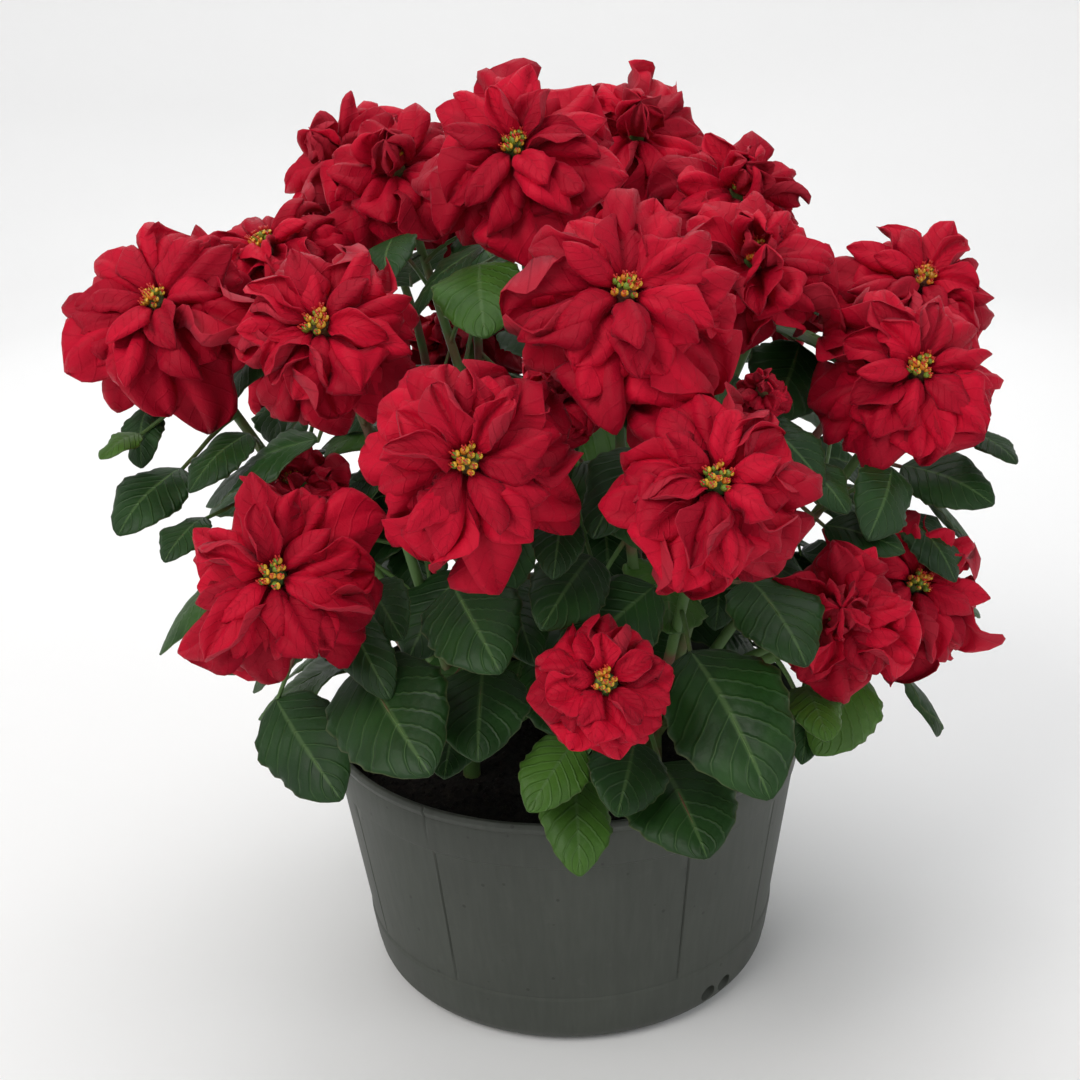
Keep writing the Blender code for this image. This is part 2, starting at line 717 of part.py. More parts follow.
def stem_solid(plant):
    foot = stem_foot(plant)
    path = [foot + Vector((0, 0, height)) for height in (STEM_ROOT, SOIL_EDGE_TOP + 0.01, STEM_TOP)]
    return tube(path, [STEM_RADIUS, STEM_RADIUS, STEM_RADIUS * 0.9], STEM_SIDES)


def finish_material(name, colour, roughness):
    material = bpy.data.materials.new(name)
    material.use_nodes = True
    surface = material.node_tree.nodes["Principled BSDF"]
    surface.inputs["Base Color"].default_value = (*colour, 1.0)
    surface.inputs["Roughness"].default_value = roughness
    surface.inputs["Metallic"].default_value = 0.0
    return material


def new_object(name, points, faces):
    mesh = bpy.data.meshes.new(name)
    mesh.from_pydata([tuple(point) for point in points], [], faces)
    thing = bpy.data.objects.new(name, mesh)
    bpy.context.scene.collection.objects.link(thing)
    return thing


def fuse(name, solids, material):
    """One object from the first solid and the others, by one Boolean union on a collection."""
    thing = new_object(name, *solids[0])
    group = bpy.data.collections.new(name + "_pieces")
    pieces = [new_object("piece", *solid) for solid in solids[1:]]
    for piece in pieces:
        group.objects.link(piece)
        bpy.context.scene.collection.objects.unlink(piece)
    union = thing.modifiers.new("Union", "BOOLEAN")
    union.operation = "UNION"
    union.operand_type = "COLLECTION"
    union.collection = group
    union.solver = "EXACT"
    graph = bpy.context.evaluated_depsgraph_get()
    mesh = bpy.data.meshes.new_from_object(thing.evaluated_get(graph))
    thing.modifiers.remove(union)
    thing.data = mesh
    for piece in pieces:
        bpy.data.objects.remove(piece)
    bpy.data.collections.remove(group)
    mesh.materials.clear()
    mesh.materials.append(material)
    mesh.name = name
    return thing


def band_radius(height):
    """Outer radius of the hoops at a height: the pot's taper without its foot's rounding."""
    return RIM_RADIUS - TAPER * (POT_HEIGHT - height)


def turned(name, profile):
    """Solid of revolution about Z from a profile of radius and height that runs axis to axis."""
    mesh = bmesh.new()
    points = [mesh.verts.new((radius, 0.0, height)) for radius, height in profile]
    edges = [mesh.edges.new(pair) for pair in zip(points, points[1:])]
    bmesh.ops.spin(mesh, geom=points + edges, cent=(0, 0, 0), axis=(0, 0, 1), angle=2 * math.pi,
                   steps=POT_SIDES, use_merge=True)
    bmesh.ops.remove_doubles(mesh, verts=mesh.verts, dist=0.00001)
    bmesh.ops.recalc_face_normals(mesh, faces=mesh.faces)
    thing = new_object(name, [], [])
    mesh.to_mesh(thing.data)
    mesh.free()
    return thing


def hidden_cutter(thing):
    thing.hide_render = True
    thing.display_type = "WIRE"
    return thing


def cut(thing, cutters):
    """Take the cutters out of a piece with one Boolean difference on their collection."""
    group = bpy.data.collections.new(thing.name + "_cutters")
    for cutter in cutters:
        hidden_cutter(cutter)
        group.objects.link(cutter)
    difference = thing.modifiers.new("Cut", "BOOLEAN")
    difference.operation = "DIFFERENCE"
    difference.operand_type = "COLLECTION"
    difference.collection = group
    difference.solver = "EXACT"


def groove_cutter(bearing):
    """Slim bar that lies along the wall and cuts the line between two staves."""
    low = LOWER_HOOP_TOP + 0.001
    high = UPPER_HOOP_BOTTOM - 0.001
    points = []
    for height in (low, high):
        outer = band_radius(height) - HOOP_PROUD
        for depth, side in ((-GROOVE_DEPTH, -1), (-GROOVE_DEPTH, 1), (0.003, 1), (0.003, -1)):
            place = toward(bearing) * (outer + depth) + toward(bearing + 90) * side * GROOVE_WIDTH / 2
            points.append(place + Vector((0, 0, height)))
    faces = [(0, 1, 2, 3), (7, 6, 5, 4), (4, 5, 1, 0), (5, 6, 2, 1), (6, 7, 3, 2), (7, 4, 0, 3)]
    return new_object("groove_cutter", points, faces)


def drain_cutter(bearing):
    """Rod that leans outwards through the corner between wall and floor."""
    middle = toward(bearing) * band_radius(DRAIN_HEIGHT) + Vector((0, 0, DRAIN_HEIGHT))
    along = toward(bearing) * 0.80 + Vector((0, 0, -DRAIN_LEAN))
    ends = [middle - along * DRAIN_BACK, middle + along * DRAIN_FRONT]
    return new_object("drain_cutter", *tube(ends, [DRAIN_RADIUS, DRAIN_RADIUS], DRAIN_SIDES))


def make_pot(material):
    stave = HOOP_PROUD
    profile = [
        (0.0, 0.0),
        (FOOT_RADIUS, 0.0),
        (band_radius(0.0) - FOOT_CHAMFER, FOOT_CHAMFER * 0.55),
        (band_radius(BELLY_HEIGHT), BELLY_HEIGHT),
        (band_radius(LOWER_HOOP_TOP), LOWER_HOOP_TOP),
        (band_radius(LOWER_HOOP_TOP) - stave, LOWER_HOOP_TOP + EDGE_STEP),
        (band_radius(UPPER_HOOP_BOTTOM) - stave, UPPER_HOOP_BOTTOM - EDGE_STEP),
        (band_radius(UPPER_HOOP_BOTTOM), UPPER_HOOP_BOTTOM),
        (band_radius(LIP_BOTTOM) - 0.0015, LIP_BOTTOM),
        (RIM_RADIUS, LIP_BOTTOM + 0.0008),
        (RIM_RADIUS, POT_HEIGHT - 0.0012),
        (RIM_RADIUS - 0.0015, POT_HEIGHT),
        (band_radius(POT_HEIGHT) - WALL - LIP_PROUD, POT_HEIGHT),
        (band_radius(FLOOR + INNER_CORNER) - WALL, FLOOR + INNER_CORNER),
        (FOOT_RADIUS, FLOOR),
        (0.0, FLOOR),
    ]
    pot = turned("pot", profile)
    cutters = [groove_cutter(bearing) for bearing in GROOVE_BEARINGS]
    cutters += [drain_cutter(bearing) for bearing in DRAIN_BEARINGS]
    cut(pot, cutters)
    pot.data.shade_smooth()
    pot.data.set_sharp_from_angle(angle=math.radians(30))
    pot.data.materials.append(material)
    return pot


def make_soil(material):
    """Soil that fills the pot, gently mounded, with a plain hole for each main stem."""
    top = band_radius(POT_HEIGHT) - WALL - LIP_PROUD
    bottom = band_radius(FLOOR + INNER_CORNER) - WALL
    slope = (top - bottom) / (POT_HEIGHT - FLOOR - INNER_CORNER)
    clear = GAP * 1.5
    edge = bottom + slope * (SOIL_EDGE_TOP - FLOOR - INNER_CORNER) - clear
    profile = [
        (0.0, FLOOR + GAP),
        (FOOT_RADIUS - clear, FLOOR + GAP),
        (bottom - clear, FLOOR + INNER_CORNER + GAP),
        (edge, SOIL_EDGE_TOP),
        (SOIL_MOUND_RADIUS, SOIL_MOUND_TOP),
        (0.0, SOIL_MOUND_TOP - 0.003),
    ]
    soil = turned("soil", profile)
    holes = []
    for plant in range(len(PLANTS)):
        foot = stem_foot(plant)
        ends = [foot + Vector((0, 0, height)) for height in (STEM_ROOT - GAP, SOIL_MOUND_TOP + 0.01)]
        radius = STEM_RADIUS + GAP * 1.5
        holes.append(new_object("stem_hole_cutter", *tube(ends, [radius, radius], STEM_SIDES)))
    cut(soil, holes)
    soil.data.materials.append(material)
    return soil


def make_plants(heads, paths, leaves, material):
    for plant in range(len(PLANTS)):
        solids = [stem_solid(plant)]
        solids += [branch_solid(paths[head.name]) for head in heads if head.plant == plant]
        solids += [leaf_solid(start, blade) for blade, start in leaves[plant]]
        fuse("plant_%d" % (plant + 1), solids, material)


def make_heads(heads, bracts, red, yellow):
    for head in heads:
        whole = new_object(head.name, *head_solid(head, bracts))
        whole.data.materials.append(red)
        if not head.bud:
            flowers = new_object("flowers_%02d" % head.number, *flower_solid(head))
            flowers.data.materials.append(yellow)


def main():
    for thing in list(bpy.data.objects):
        bpy.data.objects.remove(thing)
    grey = finish_material("pot_plastic", POT_GREY, POT_ROUGHNESS)
    peat = finish_material("peat", PEAT_BROWN, PEAT_ROUGHNESS)
    green = finish_material("leaf_green", LEAF_GREEN, LEAF_ROUGHNESS)
    red = finish_material("bract_red", BRACT_RED, BRACT_ROUGHNESS)
    yellow = finish_material("flower_yellow", FLOWER_YELLOW, FLOWER_ROUGHNESS)
    heads, paths, bracts, leaves = layout()
    make_pot(grey)
    make_soil(peat)
    make_plants(heads, paths, leaves, green)
    make_heads(heads, bracts, red, yellow)


main()
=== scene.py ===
"""The finished look of a potted poinsettia: crimson bracts, quilted leaves, small flowers, peat and pot.

Metres, +Z up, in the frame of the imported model. The plant's layout follows the same rules as the solids,
so that every solid leaf and bract has its fine one in the same place. More bracts stand between those of the
solids, and a few small leaves fill the shade. Places in the tables are in millimetres, angles in degrees, and
a bearing is measured round the pot's axis from the front: 0 is -Y, 90 is +X.
"""
import json
import math
import random

import bmesh
import bpy
from mathutils import Matrix, Vector, noise
from mathutils.bvhtree import BVHTree

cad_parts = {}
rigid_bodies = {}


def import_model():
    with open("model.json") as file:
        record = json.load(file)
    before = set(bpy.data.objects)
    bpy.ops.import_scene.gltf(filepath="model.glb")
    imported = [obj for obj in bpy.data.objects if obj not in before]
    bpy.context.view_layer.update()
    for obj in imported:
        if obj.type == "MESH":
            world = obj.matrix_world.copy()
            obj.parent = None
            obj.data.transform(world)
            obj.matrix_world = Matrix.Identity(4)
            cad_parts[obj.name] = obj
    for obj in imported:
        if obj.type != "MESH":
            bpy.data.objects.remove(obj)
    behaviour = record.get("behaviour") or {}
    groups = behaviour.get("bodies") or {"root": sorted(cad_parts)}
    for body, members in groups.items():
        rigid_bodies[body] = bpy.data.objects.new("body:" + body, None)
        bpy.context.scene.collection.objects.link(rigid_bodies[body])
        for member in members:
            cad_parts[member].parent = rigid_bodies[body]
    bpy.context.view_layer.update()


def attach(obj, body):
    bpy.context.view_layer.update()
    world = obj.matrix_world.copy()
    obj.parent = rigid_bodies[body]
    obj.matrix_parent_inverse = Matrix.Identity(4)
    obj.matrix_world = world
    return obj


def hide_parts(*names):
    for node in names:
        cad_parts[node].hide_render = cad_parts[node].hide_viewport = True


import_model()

MM = 0.001
GAP = 0.0003
ASIDE = Vector((0.31, 0.95, 0.05))

# Pot
RIM_RADIUS = 0.150
POT_HEIGHT = 0.165
TAPER = 0.1394
WALL = 0.003
FLOOR = 0.0035
FOOT_RADIUS = 0.112
INNER_CORNER = 0.012
HOOP_PROUD = 0.0010
LIP_PROUD = 0.0015
GROOVE_BEARINGS = (-62, -32, 28, 58, 118, 148, 208, 238)
GROOVE_DEPTH = 0.0010
DRAIN_BEARINGS = (39.5, 46, 147, 153.5, 253, 259.5)
DRAIN_RADIUS = 0.0055
DRAIN_HEIGHT = 0.0135
DRAIN_BACK = 0.010
DRAIN_FRONT = 0.014
DRAIN_OUT = 0.80
DRAIN_LEAN = 0.60

# Soil
SOIL_EDGE_TOP = 0.141
SOIL_MOUND_TOP = 0.146
SOIL_MOUND_RADIUS = 0.085

# Plants: where each main stem stands, as bearing and reach from the pot's axis
PLANTS = ((0, 3), (-48, 78), (42, 78), (132, 78), (-136, 78))
STEM_RADIUS = 0.0055
STEM_SIDES = 6
STEM_TAPER = 0.9
STEM_CLEAR = 0.01
STEM_ROOT = 0.095
STEM_TOP = 0.188
BRANCH_RADIUS = 0.0031
BRANCH_SIDES = 4
BRANCH_STEPS = 3
THICK_FOOT = 1.25
THINNING = 0.35
STALK_RADIUS = 0.0014
FIRST_BRANCH_DROP = 0.006
BRANCH_DROP = 0.0035
BRANCH_END = 0.004
BRANCH_SPREAD = 0.8
BRANCH_CLIMB = 0.75
BRANCH_SWING = 0.36
BRANCH_APPROACH = 0.34

# Heads: plant, x, y, z of the flowers in its middle, radius, lean from upright, bearing it leans to
HEADS = (
    (1, -215, -50, 440, 61, 46, -8),
    (4, -168, 25, 456, 52, 30, -40),
    (1, -117, -120, 439, 50, 53, -8),
    (4, -138, 130, 494, 54, 44, -40),
    (0, -90, 40, 499, 46, 40, -10),
    (0, -17, -50, 515, 56, 51, -2),
    (0, 56, 100, 508, 48, 46, 5),
    (0, 112, 28, 480, 48, 45, 15),
    (0, 109, -62, 456, 47, 50, 5),
    (2, 34, -170, 461, 59, 50, 5),
    (1, -40, -220, 397, 52, 65, 4),
    (2, 71, -222, 385, 50, 54, 0),
    (1, -135, -202, 338, 51, 58, 5),
    (2, 19, -232, 292, 32, 54, -3),
    (2, 197, -88, 276, 50, 52, 12),
    (2, 139, -168, 294, 38, 55, -8),
    (2, 191, -92, 399, 52, 54, 0),
    (3, 218, 20, 424, 51, 42, 10),
    (1, -150, -52, 335, 25, 45, -40),
    (0, -4, -128, 402, 27, 45, -10),
    (3, 157, 132, 410, 49, 45, 128),
    (3, 66, 216, 362, 48, 50, 164),
    (4, -65, 214, 366, 50, 50, -163),
    (4, -186, 142, 372, 46, 54, -125),
    (3, 42, 176, 456, 45, 30, 165),
    (4, -56, 150, 471, 45, 26, -165),
    (2, 106, -122, 402, 13, 40, 10),
)
LARGE_HEAD = 0.048
SMALL_HEAD = 0.028
BUD_RADIUS = 0.020
BUD_SCALE = 0.6
BRACTS_ROUND_LARGE = 6
BRACTS_ROUND_MIDDLING = 5
BRACTS_ROUND_SMALL = 4

# The green head that holds the bracts: height under the flowers and radius of each of its rings, in mm
HUB_RINGS = ((-15.0, 4.2), (-12.5, 6.4), (-9.5, 6.8), (-8.5, 6.8), (-5.5, 6.5), (-4.5, 6.3), (-1.5, 5.6),
             (0.0, 4.8))
HUB_DEPTH = 0.015
HUB_SHOULDER = 0.008
HUB_CLEAR_RADII = (0.0050, 0.0120, 0.0080)
HEAD_TWIST = 23
ROOT_SHARE = 0.7

# Rows of bracts from the outside in. For each: the ring of the hub that it starts above, its length and
# width as shares of the head's radius, how steeply a bract rises at its foot and falls at its tip, how far
# it rolls about its midrib, how far it is turned round the head, and how its edges droop
BRACT_ROWS = (
    (1, 1.30, 0.80, 4, -84, 16, 0, 0.15),
    (3, 0.94, 0.60, 24, -50, 14, 30, 0.14),
    (5, 0.60, 0.36, 58, -50, 12, 8, 0.08),
)
BRACT_THICKNESS = 0.0016
BRACT_STOPS = ((0.33, 0.58), (0.68, 1.0))
INNER_BRACT_STOPS = ((0.58, 1.0),)
PROBE_STOP = (0.14, 0.22)
ANY_PHASE = 6.28
TURN_SPREAD = 6
SIZE_SPREAD = 0.12
LEAN_SPREAD = 7
FOOT_DROOP = 0.4
EDGE_WAVE = 0.05
EDGE_WAVE_STEP = 2.4

# More droop in degrees and a share of its size for a bract that would cross another head's, in this order
BRACT_TRIES = (
    (0, 1.0), (12, 0.97), (-8, 0.97), (24, 0.92), (10, 0.84), (30, 0.78), (16, 0.68), (34, 0.60), (8, 0.50),
    (30, 0.42), (0, 0.34),
)

# Leaves that the front shows: plant, x, y, z of the foot of the blade, x, y, z of its tip, width
FRONT_LEAVES = (
    (1, -105, -150, 265, -65, -228, 243, 62),
    (1, -152, -146, 245, -110, -200, 222, 50),
    (1, -42, -138, 257, -44, -198, 233, 50),
    (1, -58, -128, 222, -64, -170, 208, 32),
    (2, 5, -163, 225, -20, -202, 206, 34),
    (2, 4, -150, 200, 5, -203, 168, 38),
    (2, 36, -158, 220, 24, -212, 208, 42),
    (2, 50, -152, 203, 68, -218, 186, 58),
    (2, 65, -160, 272, 96, -234, 228, 62),
    (2, 96, -146, 296, 116, -216, 278, 46),
    (2, 125, -150, 245, 131, -188, 233, 30),
    (2, 165, -94, 226, 131, -156, 208, 44),
    (2, 130, -122, 221, 124, -157, 203, 22),
    (0, 16, -148, 321, -10, -206, 298, 40),
    (2, 48, -142, 301, -6, -202, 292, 44),
    (1, -55, -146, 306, -30, -212, 288, 50),
    (1, -26, -142, 301, -14, -186, 279, 28),
    (1, -110, -150, 302, -90, -206, 279, 32),
    (1, -100, -126, 301, -80, -170, 288, 30),
    (1, -194, -128, 312, -200, -168, 278, 28),
    (1, -214, -44, 342, -242, -86, 318, 44),
    (1, -194, -84, 326, -210, -116, 313, 26),
    (1, -235, -20, 381, -230, -54, 352, 34),
    (1, -236, -40, 376, -260, -68, 366, 30),
    (1, -172, -50, 371, -202, -87, 348, 38),
    (1, -105, -108, 396, -125, -147, 363, 32),
    (0, -70, -90, 436, -55, -136, 419, 28),
    (2, 40, -148, 377, 9, -202, 364, 38),
    (1, 2, -176, 364, -4, -208, 340, 26),
    (2, 85, -118, 401, 55, -162, 395, 32),
    (2, 178, -96, 346, 157, -140, 322, 34),
    (2, 195, -48, 331, 238, -82, 318, 40),
    (2, 195, -58, 306, 216, -96, 279, 34),
    (2, 140, -114, 321, 180, -135, 320, 28),
    (3, 160, -8, 416, 134, -56, 389, 34),
    (2, 105, -108, 386, 136, -151, 364, 36),
    (2, 124, -108, 356, 145, -146, 339, 30),
    (2, 232, -50, 350, 250, -78, 340, 26),
    (2, 40, -148, 417, 41, -192, 398, 34),
    (0, -38, -52, 462, -34, -116, 434, 50),
    (0, -90, 12, 467, -90, -38, 448, 38),
    (0, 30, -4, 476, 41, -42, 444, 30),
)

# Leaves that follow a rule: shares of the branch at which they stand, and their lengths
LEAF_STATIONS = ((0.48, 88), (0.68, 78), (0.83, 62))
LEAF_TURNS = (0, 55, -55, 110)
FACES_FRONT = 0.7
FRONT_BEARING = 72
FRONT_REACH = 0.165
GOLDEN_ANGLE = 137.5
HEAD_TURN = 61
LEAF_SPREAD = 0.7
LEAF_SAG = 0.15
LEAF_DROOP = 0.42
STALK_SHARE = 0.42
STALK_AHEAD = 0.45
STATION_TURN = 20
STATION_STEP = 0.05

# Leaves that fill the sides, the back and the shade behind the front leaves. For each tier: the bearings of
# its first and last leaf and the step between them, reach and height of a leaf's foot, reach and height of
# its tip, and its width
TIERS = (
    (96, 264, 21, 120, 198, 192, 146, 62),
    (86, 276, 19, 126, 250, 204, 204, 60),
    (104, 258, 22, 134, 300, 208, 256, 56),
    (-80, 80, 20, 62, 232, 128, 206, 64),
    (-88, 88, 22, 84, 282, 150, 262, 62),
    (-78, 90, 24, 88, 338, 150, 322, 58),
    (-108, -72, 18, 150, 262, 214, 226, 56),
    (-112, -76, 18, 156, 318, 220, 290, 54),
    (72, 108, 18, 150, 256, 214, 218, 56),
    (70, 106, 18, 158, 310, 222, 280, 54),
    (94, 266, 19, 86, 326, 160, 312, 62),
    (84, 276, 21, 92, 378, 162, 366, 56),
    (-70, 74, 24, 34, 296, 100, 270, 64),
    (-66, 70, 26, 52, 372, 112, 356, 50),
)
FACES_OUT = 0.9
TIER_SHIFT = 5
TIER_TURN = 8
LEAF_WIDTH_SHARE = 0.66
LEAF_THICKNESS = 0.0013
LEAF_BOW = 22
LEAF_ROLL = 11
LEAF_CUP = 0.07
LEAF_FACES_OUT = 0.45
LEAF_STOPS = ((0.17, 0.76), (0.50, 1.0), (0.82, 0.66))
STALK_TAPER = 0.8
LEAST_STALK = 0.012
STALK_REACH = 0.095
STALK_CHOICES = 5
LEAST_AHEAD = 0.1
MOST_ASIDE = 0.9
STALK_SHARES = (0.10, 0.20, 0.30, 0.40, 0.50, 0.60, 0.68, 0.76, 0.84, 0.90)
LEAST_LEAF_HEIGHT = 0.150
CLEAR_OF_RIM = 0.012
CLEAR_OF_WALL = 0.015
LEAF_TRIES = (
    (0, 0, 1.0, 0), (10, 0, 0.97, 0), (-8, 0, 0.97, 0), (0, 0, 0.95, -8), (0, 0, 0.95, 8), (0, 12, 0.92, 0),
    (0, -12, 0.92, 0), (20, 0, 0.9, 0), (12, 12, 0.85, -8), (12, -12, 0.85, -8), (0, 22, 0.85, 0),
    (0, -22, 0.85, 0), (0, 0, 0.75, -14), (0, 0, 0.75, 14), (30, 0, 0.75, 0), (-18, 0, 0.72, 0),
    (0, 0, 0.6, 0), (20, 20, 0.6, -10), (20, -20, 0.6, -10),
)
CLEARANCE = 0.0009
SEED = 11

# Small flowers: height, radius at a lobe and between two lobes of each ring, and the dip's height, in mm
FLOWER_LOBES = 5
FLOWER_RINGS = ((0.0, 3.2, 2.8), (2.4, 5.6, 3.8), (5.4, 4.8, 2.6))
FLOWER_DIP = 3.8
LEAST_FULL_HEAD = 0.040
SMALL_FLOWERS = 0.8

# Fine bracts: the rows that stand between those of the solids, as in BRACT_ROWS but without roll and droop
EXTRA_ROWS = (
    (1, 1.14, 0.74, 16, -72, 52),
    (3, 0.76, 0.48, 42, -46, 14),
)
MORE_BRACTS = 3
EXTRA_TURN = 12
EXTRA_SIZES = (0.92, 1.06)
EXTRA_LEAN = 7
EXTRA_ROLLS = (-22, 18, 26)
EXTRA_CUP = 0.1

# How wide and long a fine bract is as a share of its solid, and how far it may be less bent back
WIDE_SHARE = 1.14
WIDE_LENGTHS = (0.75, 0.94)
WIDE_OPENS = 60.0
INNER_SHARE = 1.12
INNER_LENGTHS = (1.00, 1.28)
INNER_OPENS = 40.0
FOOT_OPENS = 0.3
ROLL_SPREAD = 1.4

# How far the edges of the fine bracts curl, the share of them that is cupped instead, and their twist
WIDE_CURL = ((0.7, 2.1), 0.18, 0.7)
INNER_CURL = ((0.8, 2.1), 0.3, 0.8)
CUPPED = -0.7
CRUMPLES = (0.6, 1.4)

# Heads whose innermost bracts still arch over the flowers: how they rise at the foot and end at the tip
CLOSED_HEADS = (4, 5, 7, 8, 9, 16, 19, 20, 27)
CLOSED_RISE = 52
CLOSED_END = 138
CLOSED_LENGTHS = (0.8, 1.05)
CLOSED_SHARE = 1.25
CLOSED_ROLL = 25

# Side veins of a bract and of a leaf, and how steeply they slant
BRACT_VEINS = 7.0
BRACT_VEIN_SLANT = 2.6
LEAF_VEINS = 8.0
LEAF_VEIN_SLANT = 2.3

# Relief of the fine blades: the waves' radians from foot to tip and from midrib to edge, how sharp the
# creases are, where the relief starts, and how the thickness falls to the edge
TEETH_WAVE = (44.0, 2.0)
SWELL_WAVE = (7.0, 2.2)
RUFFLE_WAVE = (11.0, 1.7)
PLEAT_DRIFT = 0.9
CREASE = 0.6
CREASE_MEAN = 0.6
FLAT_FOOT = 0.25
MIDRIB_VALLEY = 0.16
LEAST_SHARE = 0.05
FOOT_CURL = 0.35
THICK_MIDDLE = 1.15
THIN_EDGE = 0.45

# The shape of the fine blades, as the inputs of the tree that grows them
WIDE_SHAPE = {
    "along": 16, "across": 12, "widest": 1.35, "roundness": 0.66, "edge_arc": 1.15, "pleats": 2.8,
    "pleat_depth": 0.50, "swell": 0.08, "veins": BRACT_VEINS, "vein_slant": BRACT_VEIN_SLANT,
    "vein_depth": 0.016, "ruffle": 0.3, "thickness": 0.0009,
}
INNER_SHAPE = {
    "along": 12, "across": 10, "widest": 1.2, "roundness": 0.78, "edge_arc": 1.25, "pleats": 2.2,
    "pleat_depth": 0.56, "swell": 0.08, "veins": BRACT_VEINS, "vein_slant": BRACT_VEIN_SLANT,
    "vein_depth": 0.015, "ruffle": 0.28, "thickness": 0.0008,
}
LEAF_SHAPE = {
    "along": 25, "across": 15, "widest": 0.86, "roundness": 0.66, "edge_arc": 0.5, "pleats": 2.0,
    "pleat_depth": 0.02, "swell": 0.03, "veins": LEAF_VEINS, "vein_slant": LEAF_VEIN_SLANT,
    "vein_depth": 0.045, "ruffle": 0.11, "teeth": 0.035, "fold": 0.10, "thickness": 0.0009,
}

# Fine stems, leaf stalks and the midribs that they run on into, as heights or places and shares of a radius
FINE_STEM = ((STEM_ROOT, 0.95), (0.120, 0.95), (SOIL_EDGE_TOP + 0.006, 0.98), (0.165, 0.93), (0.178, 0.97),
             (STEM_TOP, 0.86))
FINE_BRANCH = 0.95
FINE_HUB = 0.9
BRANCH_POINTS = 14
ROUND_SIDES = 8
STALK_GIRTHS = (1.1, 1.0, 0.95, 0.9)
STALK_SAG = 0.0015
MIDRIB = ((0.0, 0.80), (0.12, 0.62), (0.30, 0.46), (0.50, 0.36), (0.70, 0.28), (0.88, 0.20))
MIDRIB_DEPTH = 0.0006

# How fresh and yellow-green some of the front leaves are, by their row. The others have the dark tone.
FRESH_LEAVES = {4: 0.82, 5: 0.78, 10: 0.85, 11: 0.86, 23: 0.98, 39: 0.72, 34: 0.70, 8: 0.35, 0: 0.30}
DARK_TONE = 0.2
BACK_TONES = (0.0, 0.75)

# Small leaves in the shade, where the front view would look right through the plant: the plant to try
# first, foot, tip and width. Each is pushed away from the camera by the first of the depths where it fits.
SHADE_LEAVES = (
    (2, 136, -42, 402, 114, -82, 368, 46),
    (2, 142, -40, 430, 124, -80, 396, 40),
    (0, 26, -40, 312, 18, -84, 268, 46),
    (2, 92, -40, 268, 84, -90, 226, 48),
    (0, -46, -10, 466, -36, -56, 438, 44),
    (1, -104, -18, 336, -94, -66, 296, 50),
    (1, -86, -18, 300, -78, -66, 256, 50),
)
SHADE_DEPTHS = (0, 14, 28, 42, 56, 70, 84, 98, -14)

# Camera and floor
CAMERA_PLACE = (0.0, -0.857, 0.599)
CAMERA_PITCH = 20.7
CAMERA_YAW = -0.8
CAMERA_ROLL = -2.1
CAMERA_LENS = 50.0
CAMERA_SENSOR = 36.0
FLOOR_FLAT = 2.2
FLOOR_WALL = 3.6
FLOOR_RISE = 2.6
FLOOR_SIDES = 96

# Fine pot: the rounding of its foot, the heights of the rings of its wall, and the rounding of its lip. For
# the rings of a step between a hoop and the staves: their heights, and how far they lie inside the hoops.
FOOT_EDGE = 0.0015
FOOT_LIFT = 0.0003
FOOT_CORNER = 0.014
FOOT_ROUND = 0.0135
FOOT_ROUND_TOP = 0.0145
FOOT_ROUND_RISE = 0.0138
FOOT_INSET = 0.0005
FOOT_TURNS = (15, 30, 45, 60, 75, 90)
LOWER_HOOP_RINGS = (0.018, 0.026, 0.0345)
LOWER_STEP = ((0.0362, 0.0002), (0.0374, 0.001028))
STAVE_RINGS = (0.042, 0.062, 0.082, 0.102, 0.120, 0.1322, 0.1345)
UPPER_STEP = (0.1354, 0.000228)
UPPER_HOOP_RINGS = (0.138, 0.147, 0.156)
LIP_STEP = (0.1584, 0.000856)
LIP_UNDERSIDE = 0.159
LIP_EDGE = 0.0012
LIP_ROUND = 0.0024
LIP_ROUND_HEIGHT = 0.1622
LIP_ROUND_RISE = 0.0028
LIP_TURNS = (0, 30, 60, 90, 120, 150, 180)
INSIDE_RINGS = ((0.158, 0.0), (0.145, 0.0012), (0.128, 0.004))
INSIDE_MIDDLE = 0.080
POT_COLUMNS = 128
LINE_COLUMNS = (-0.42, -0.05, 0.05, 0.42)
LINE_CLEAR = 0.44
LINE_HALF = 0.12
STAVE_BOTTOM = 0.0375
STAVE_TOP = 0.1335
OUTSIDE_WALL = 0.002
LIP_JOINT = -33
LIP_JOINT_BOTTOM = 0.150
ROD_SIDES = 20
SHARP_EDGE = 32

# Fine peat
PEAT_SINK = 0.003
PEAT_SLOPE = 0.055
PEAT_LUMPS = 70
PEAT_GRAINS = 190
PEAT_ROUGH = 0.0022
PEAT_RINGS = 26
PEAT_COLUMNS = 96
PEAT_SHOULDER = 0.004
PEAT_COVER = 0.003
PEAT_TOP = 0.001
PEAT_EDGE_GAP = 0.0005

# Fine small flowers: how many, how far out, their height in the middle and at the edge, and how they lean
FLORETS = 11
FLORET_REACH = 0.0064
FLORET_START = 0.4
FLORET_TURN = 14
FLORET_LIFT = 0.0026
FLORET_DOME = 0.0030
FLORET_HEIGHTS = (0.6, 1.2)
FLORET_LEAN = 70
FLORET_TILT = 0.2
FLORET_SIZES = (0.75, 1.15)
CUP_LENGTH = 1.25
LIP_SHARE = 0.72
LIP_PLACE = (0.0012, 0.0, 0.0014)
LIP_STRETCH = (0.85, 1.15, 0.55)
THREAD_PLACES = ((-0.0007, 0.0006), (0.0003, -0.0009), (-0.0003, 0.0001), (0.0008, 0.0007))
THREAD_HEIGHT = 0.0021

